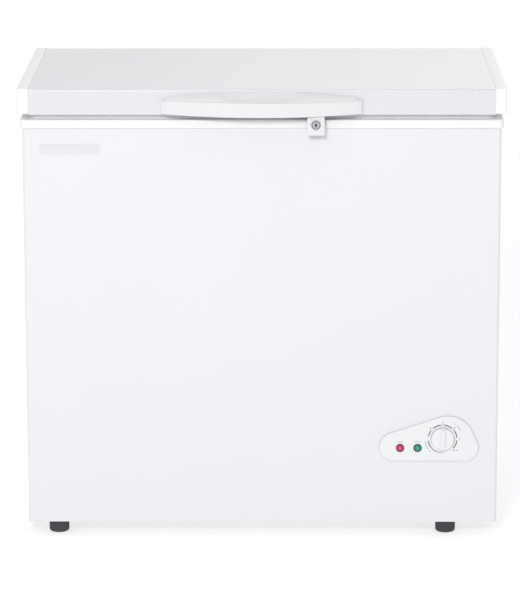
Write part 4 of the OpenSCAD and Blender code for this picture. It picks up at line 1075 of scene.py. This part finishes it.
@dataclass
class ControlPanel:
    """Front panel with the thermostat's dial, its printed scale and two indicator lights."""

    knob_r: float = 21.5 * MM
    knob_tilt: float = math.radians(5)
    ridge: tuple[float, float] = (4.4 * MM, 19.2 * MM)  # half of the grip ridge's width and length
    lens_r: float = 7.8 * MM
    scale_r: float = 27.2 * MM
    ink: float = 0.12 * MM
    numeral_size: float = 4.6 * MM
    # The outline's three rounds in millimetres: centre from the dial's, then radius
    rounds: tuple[tuple[float, float, float], ...] = ((10.2, -7.1, 51), (-91.8, -16.1, 27.5), (42.4, -18, 25.6))
    big_cut: float = 7.2 * MM  # the big round counts only above this distance under the dial's centre
    front: float = field(init=False)
    dial: Point2 = field(init=False)
    lights: dict[str, Point2] = field(init=False)

    def __post_init__(self) -> None:
        """Takes its places from the frame."""
        self.dial = front_centre("thermostat_knob")
        self.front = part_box("cabinet_wrapper")[0].y - 3 * MM
        self.lights = {node: front_centre(node) for node in ("power_lens", "run_lens")}

    def outline(self, grow: float) -> list[Point2]:
        """The panel's rounded triangle, grown by a distance."""
        x, z = self.dial
        big, left, right = (
            circle((x + across * MM, z + up * MM), radius * MM + grow, steps)
            for (across, up, radius), steps in zip(self.rounds, (180, 96, 96))
        )
        return hull([point for point in big if point[1] >= z - self.big_cut] + left + right)

    def build(self) -> None:
        """Makes the panel, the knob, the lights and the printing."""
        self.panel()
        self.knob()
        dress(CONTROL_ABS, "thermostat_shaft", "indicator_lamps")
        self.light("power_lens", RED_LENS, RED_RIM)
        self.light("run_lens", GREEN_LENS, GREEN_RIM)
        self.printing()

    def panel(self) -> None:
        """Makes the panel with its dished seat for the knob, and the bead round its edge, whose grey colour is
        painted edge shadow.
        """
        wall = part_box("cabinet_wrapper")[0].y
        holes = [circle(self.dial, self.knob_r + 1 * MM, 96)]
        holes += [circle(centre, self.lens_r - 1.4 * MM) for centre in self.lights.values()]
        work = Workpiece()
        work.plate([self.outline(-0.3 * MM), *holes], wall - self.front, front_plane(wall), 0.9 * MM)
        seat = self.knob_r + 1.05 * MM
        lip = wall - self.front + 0.7 * MM
        work.lathe([
            (5 * MM, 0), (seat + 0.4 * MM, 0), (seat + 0.4 * MM, 2.6 * MM), (seat + 1.35 * MM, 2.6 * MM),
            (seat + 1.35 * MM, lip - 0.4 * MM), (seat + 0.9 * MM, lip), (seat + 0.3 * MM, lip),
            (seat, lip - 0.3 * MM), (seat, 2 * MM), (5 * MM, 2 * MM), (5 * MM, 0),
        ], forward(self.dial[0], wall, self.dial[1]), 96)
        work.piece("panel_moulding", CONTROL_ABS, "cabinet", ["control_bezel"])
        # The bead is real, but its grey colour is painted shade standing for the shadow along the panel's edge
        edge = [Vector((x, wall - 1.1 * MM, z)) for x, z in self.outline(-0.35 * MM)]
        wires("panel_bead_painted_edge_shade", [edge], 0.75 * MM, EDGE_SHADE_BEAD_ABS, "cabinet", ["control_bezel"], True, 2)

    def knob(self) -> None:
        """Spins the knob's disc and sets its grip ridge across it."""
        low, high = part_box("thermostat_knob")
        back, r = high.y, self.knob_r
        x, z = self.dial
        place = forward(x, back, z)
        work = Workpiece()
        work.lathe([
            (3.05 * MM, 3 * MM), (r - 4 * MM, 3 * MM), (r - 4 * MM, 0), (r - 0.3 * MM, 0), (r, 0.3 * MM),
            (r, 6.9 * MM), (r - 0.35 * MM, 8 * MM), (r - 1.2 * MM, 8.8 * MM), (r - 2.4 * MM, 9 * MM),
            (3.05 * MM, 9 * MM), (3.05 * MM, 3 * MM),
        ], place, 96)
        half_w, half_l = self.ridge
        work.block((x - half_w, low.y, z - half_l), (x + half_w, back - 8.6 * MM, z + half_l), 1.6 * MM, 4)
        near = 0.1 * MM
        ridge = [
            v for v in work.bm.verts
            if abs(v.co.x - x) < half_w + near and abs(v.co.z - z) < half_l + near and v.co.y < back - 8.5 * MM
            and (max(abs(v.co.x - x), abs(v.co.z - z)) > 3.1 * MM or v.co.y < back - 9.1 * MM)
        ]
        bmesh.ops.rotate(work.bm, cent=(x, back, z), matrix=Matrix.Rotation(self.knob_tilt, 3, "Y"), verts=ridge)
        work.piece("dial_knob", CONTROL_ABS, "dial", ["thermostat_knob"])

    def light(self, node: str, lens: Finish, rim: Finish) -> None:
        """Makes one indicator light: a darker rim round a shallow dome.

        Args:
            node: the light's CAD node.
            lens: finish of the dome.
            rim: finish of the rim.
        """
        x, z = self.lights[node]
        place, r = forward(x, self.front, z), self.lens_r
        spun(node + "_rim", rim, "cabinet", [
            (r - 2.6 * MM, 0), (r, 0), (r, 1 * MM), (r - 0.5 * MM, 1.7 * MM), (r - 1.3 * MM, 1.9 * MM),
            (r - 2.6 * MM, 1.1 * MM), (r - 2.6 * MM, 0),
        ], place, 64, [node])
        spun(node + "_dome", lens, "cabinet", [
            (0, -5 * MM), (r - 2.6 * MM, -5 * MM), (r - 2.65 * MM, 1.2 * MM), (r - 3.6 * MM, 1.9 * MM),
            (r - 5 * MM, 2.25 * MM), (0, 2.4 * MM),
        ], place, 64, [node])

    def arc(self, work: Workpiece, start: float, end: float, radius: float, widths: tuple[float, float]) -> None:
        """Adds one printed arc of the scale.

        Args:
            work: the piece that takes it.
            start: first angle in degrees, anticlockwise from the right.
            end: last angle in degrees.
            radius: middle radius.
            widths: line width at the start and at the end.
        """
        count = max(6, int(abs(end - start) / 3))
        x, z = self.dial
        inner: list[Point2] = []
        outer: list[Point2] = []
        for s in sweep(0.0, 1.0, count):
            a = math.radians(start + (end - start) * s)
            half = (widths[0] * (1 - s) + widths[1] * s) / 2
            for side, reach in ((inner, radius - half), (outer, radius + half)):
                side.append((x + reach * math.cos(a), z + reach * math.sin(a)))
        work.plate([outer + inner[::-1]], self.ink, front_plane(self.front))

    def bar(self, work: Workpiece, centre: Point2, width: float, height: float) -> None:
        """Adds a small printed bar."""
        x, z = centre
        outline = rounded_rectangle((x - width / 2, z - height / 2), (x + width / 2, z + height / 2), 0.3 * MM, 3)
        work.plate([outline], self.ink, front_plane(self.front))

    def printing(self) -> None:
        """Prints the dial's scale, its numerals and plain marks over the lights."""
        dark, pale = Workpiece(), Workpiece()
        line = 1.7 * MM
        for start, end in ((-41, -6), (6, 38), (50, 84), (97, 131), (144, 168)):
            self.arc(dark, start, end, self.scale_r, (line, line))
        self.arc(dark, 188, 278, self.scale_r, (1.9 * MM, 0.5 * MM))
        for text, angle, reach in (("5", 0, 4.7), ("4", 44, 4), ("3", 90, 4.2), ("2", 138, 4), ("1", 176, 1.2)):
            self.numeral(dark, text, math.radians(angle), self.scale_r + reach * MM)
        for angle in (44, 90, 138):
            self.arc(dark, angle - 1, angle + 1, self.scale_r + 0.4 * MM, (2.4 * MM, 2.4 * MM))
        dark.piece("scale_print", SCALE_INK, "cabinet")
        for start, end, reach, width in (
            (187, 217, 33.2, 1.3), (223, 227, 33.4, 1.9), (27, 44, 38, 1.2), (48, 53, 37.6, 1.2), (57, 60, 37.2, 1.6),
        ):
            self.arc(pale, start, end, reach * MM, (width * MM, width * MM))
        x, z = self.dial
        for across, width in ((21.5, 5.6), (27.6, 4.6)):
            self.bar(pale, (x + across * MM, z - 22.3 * MM), width * MM, 1.5 * MM)
        for node, (x, z) in self.lights.items():
            high = z + 11.9 * MM
            ring = circle((x, high), 1.5 * MM, 32)
            if node == "power_lens":
                pale.plate([ring, circle((x, high), 0.9 * MM, 32)], self.ink, front_plane(self.front))
            else:
                pale.plate([ring[:17]], self.ink, front_plane(self.front))
            for side in (-1, 1):
                self.bar(pale, (x + side * 4.1 * MM, high), 3.4 * MM, 1.1 * MM)
        pale.piece("label_print", PALE_INK, "cabinet")

    def numeral(self, work: Workpiece, text: str, angle: float, radius: float) -> None:
        """Adds one numeral of the scale, upright, at an angle and a radius from the dial's centre."""
        curve = bpy.data.curves.new("numeral_" + text, "FONT")
        curve.body = text
        curve.size = self.numeral_size
        curve.align_x = "CENTER"
        curve.align_y = "CENTER"
        curve.extrude = self.ink / 2
        x = self.dial[0] + radius * math.cos(angle)
        z = self.dial[1] + radius * math.sin(angle)
        work.add_curve(curve, front_plane(self.front - self.ink / 2) @ Matrix.Translation((x, z, 0)))


@dataclass
class Badge:
    """Blank badge plate at the upper left of the front."""

    rim: float = 0.35 * MM

    def build(self) -> None:
        """Makes the plate with a rounded edge."""
        low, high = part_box("badge_plate")
        work = Workpiece()
        outline = rounded_rectangle((low.x, low.z), (high.x, high.z), 5 * MM, 10)
        work.plate([outline], high.y - low.y, front_plane(high.y), self.rim)
        work.piece("badge_blank", BADGE_ABS, "cabinet", ["badge_plate"])


# ---------------------------------------------------------------- basket


@dataclass
class Basket:
    """Dipped wire basket that slides on the collar's ledges."""

    rod_r: float = 2.5 * MM
    wire_r: float = 1.5 * MM
    corner: float = 9 * MM
    slack: float = 0.2 * MM
    first: float = 4.5 * MM  # from a side to its nearest wire

    @staticmethod
    def spread(low: float, high: float, pitch: float) -> list[float]:
        """Even places from low to high, about a pitch apart."""
        count = round((high - low) / pitch)
        return [low + (high - low) * i / count for i in range(count + 1)]

    def build(self) -> None:
        """Bends the rim and the wires of the mesh."""
        low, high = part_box("basket_frame")
        z = (low.z + high.z) / 2
        x0, x1 = low.x + self.rod_r, high.x - self.rod_r
        y0, y1 = low.y + self.rod_r, high.y - self.rod_r
        m0, m1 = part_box("basket_mesh")
        rim = bent([Vector(p) for p in ((x0, y0, z), (x1, y0, z), (x1, y1, z), (x0, y1, z))], self.corner, 8, True)
        bars = [[Vector((x0, y, z)), Vector((x1, y, z))] for y in (m0.y, m1.y)]
        for name, paths, closed in (("rim", [rim], True), ("bars", bars, False)):
            wires("basket_" + name, paths, self.rod_r, WIRE_DIP, "basket", ["basket_frame"], closed, 4)
        r = self.wire_r
        a0, a1 = m0.x + self.slack + r, m1.x - self.slack - r
        b0, b1 = m0.y + self.slack + r, m1.y - self.slack - r
        floor, top = m0.z + r, m1.z
        d = 1.8 * r
        ribs = [
            ((x, b0, top), (x, b0, floor), (x, b1, floor), (x, b1, top))
            for x in self.spread(a0 + self.first, a1 - self.first, 36 * MM)
        ] + [
            ((a0, y, top), (a0, y, floor + d), (a1, y, floor + d), (a1, y, top))
            for y in self.spread(b0 + self.first, b1 - self.first, 32 * MM)
        ]
        hoops = [
            ((a0 + d, b0 + d, z), (a1 - d, b0 + d, z), (a1 - d, b1 - d, z), (a0 + d, b1 - d, z))
            for z in self.spread(floor + 24 * MM, top - 4 * MM, 48 * MM)
        ]
        for name, corners, closed in (("ribs", ribs, False), ("hoops", hoops, True)):
            paths = [bent([Vector(point) for point in path], self.corner, 6, closed) for path in corners]
            wires("basket_" + name, paths, r, WIRE_DIP, "basket", ["basket_mesh"], closed, 2)


# ---------------------------------------------------------------- studio


@dataclass
class Studio:
    """Plain pale floor, soft light and the camera."""

    lens: float = 205.6
    place: tuple[float, float, float] = (0.051, -6.377, 1.859)
    pitch: float = math.radians(12.75)
    roll: float = math.radians(0.1)
    yaw: float = math.radians(0.49)

    def build(self) -> None:
        """Lays the floor, hangs the lights and sets the camera."""
        self.floor()
        self.camera()
        self.sky()
        self.lamp("key_softbox", (-0.65, -4.6, 2.6), (0.9, 0.7), 96.0)

    def floor(self) -> None:
        """Lays a wide seamless floor."""
        work = Workpiece()
        bmesh.ops.create_grid(work.bm, x_segments=1, y_segments=1, size=30.0)
        mesh = bpy.data.meshes.new("studio_floor")
        work.bm.to_mesh(mesh)
        work.bm.free()
        ground = bpy.data.objects.new("studio_floor", mesh)
        bpy.context.scene.collection.objects.link(ground)
        paper = Finish("white_backdrop_paper", "", "#B4B4B4", Surface.RUBBERY, 0.95, shade=0.002, relief_mm=0.0,
                       glow=1.32)
        mesh.materials.append(paper.material())

    def camera(self) -> None:
        """Sets the camera."""
        data = bpy.data.cameras.new("camera")
        data.lens = self.lens
        data.sensor_width = 36.0
        data.clip_start = 0.1
        data.clip_end = 100.0
        camera = bpy.data.objects.new("camera", data)
        camera.location = self.place
        camera.rotation_euler = (math.pi / 2 - self.pitch, self.roll, self.yaw)
        bpy.context.scene.collection.objects.link(camera)
        bpy.context.scene.camera = camera

    def sky(self) -> None:
        """Surrounds the scene with even studio light."""
        world = bpy.data.worlds.new("studio")
        bpy.context.scene.world = world
        world.use_nodes = True
        tree = world.node_tree
        tree.nodes.clear()
        aim = add_node(tree, "SeparateXYZ", {"Vector": add_node(tree, "TexCoord").outputs["Generated"]})
        wall = add_node(tree, "MapRange", {
            "Value": aim.outputs["X"], "From Min": -0.09, "From Max": 0.08, "To Min": 1.0, "To Max": 1.42,
        }, interpolation_type="SMOOTHSTEP").outputs["Result"]
        behind = add_node(tree, "MapRange", {
            "Value": aim.outputs["Y"], "From Min": 0.55, "From Max": 0.85, "To Min": 0.0, "To Max": 1.0,
        }, interpolation_type="SMOOTHSTEP").outputs["Result"]
        ceiling = add_node(tree, "MapRange", {
            "Value": aim.outputs["Z"], "From Min": 0.05, "From Max": 0.9, "To Min": 0.3, "To Max": 0.86,
        }).outputs["Result"]
        radiance = add_node(tree, "Mix", {"Factor": behind, "A": ceiling, "B": wall}).outputs["Result"]
        background = add_node(tree, "Background", {"Color": (1.0, 1.0, 1.0, 1.0), "Strength": radiance})
        add_node(tree, "OutputWorld", {"Surface": background.outputs["Background"]})

    def lamp(
        self, name: str, place: tuple[float, float, float], size: tuple[float, float], power: float
    ) -> None:
        """Hangs a rectangular softbox that faces the object.

        Args:
            name: the lamp's name.
            place: its centre.
            size: its width and height.
            power: its power in watts.
        """
        data = bpy.data.lights.new(name, "AREA")
        data.shape = "RECTANGLE"
        data.size, data.size_y = size
        data.energy = power
        lamp = bpy.data.objects.new(name, data)
        lamp.location = place
        aim = Vector((0, 0, 0.5)) - Vector(place)
        lamp.rotation_euler = aim.to_track_quat("-Z", "Y").to_euler()
        bpy.context.scene.collection.objects.link(lamp)


# ---------------------------------------------------------------- assembly


def main() -> None:
    """Builds every sub-assembly in order, then the studio."""
    logging.basicConfig(level=logging.INFO, format="%(message)s")
    bpy.context.scene.view_settings.view_transform = "Standard"
    for assembly in (
        Cabinet(), Feet(), CompressorBay(), Hinges(), Lid(), Handle(), LidLock(), ControlPanel(), Badge(), Basket(),
        Studio(),
    ):
        log.info("building %s", type(assembly).__name__)
        assembly.build()
    bpy.context.view_layer.update()


if __name__ == "__main__":
    main()
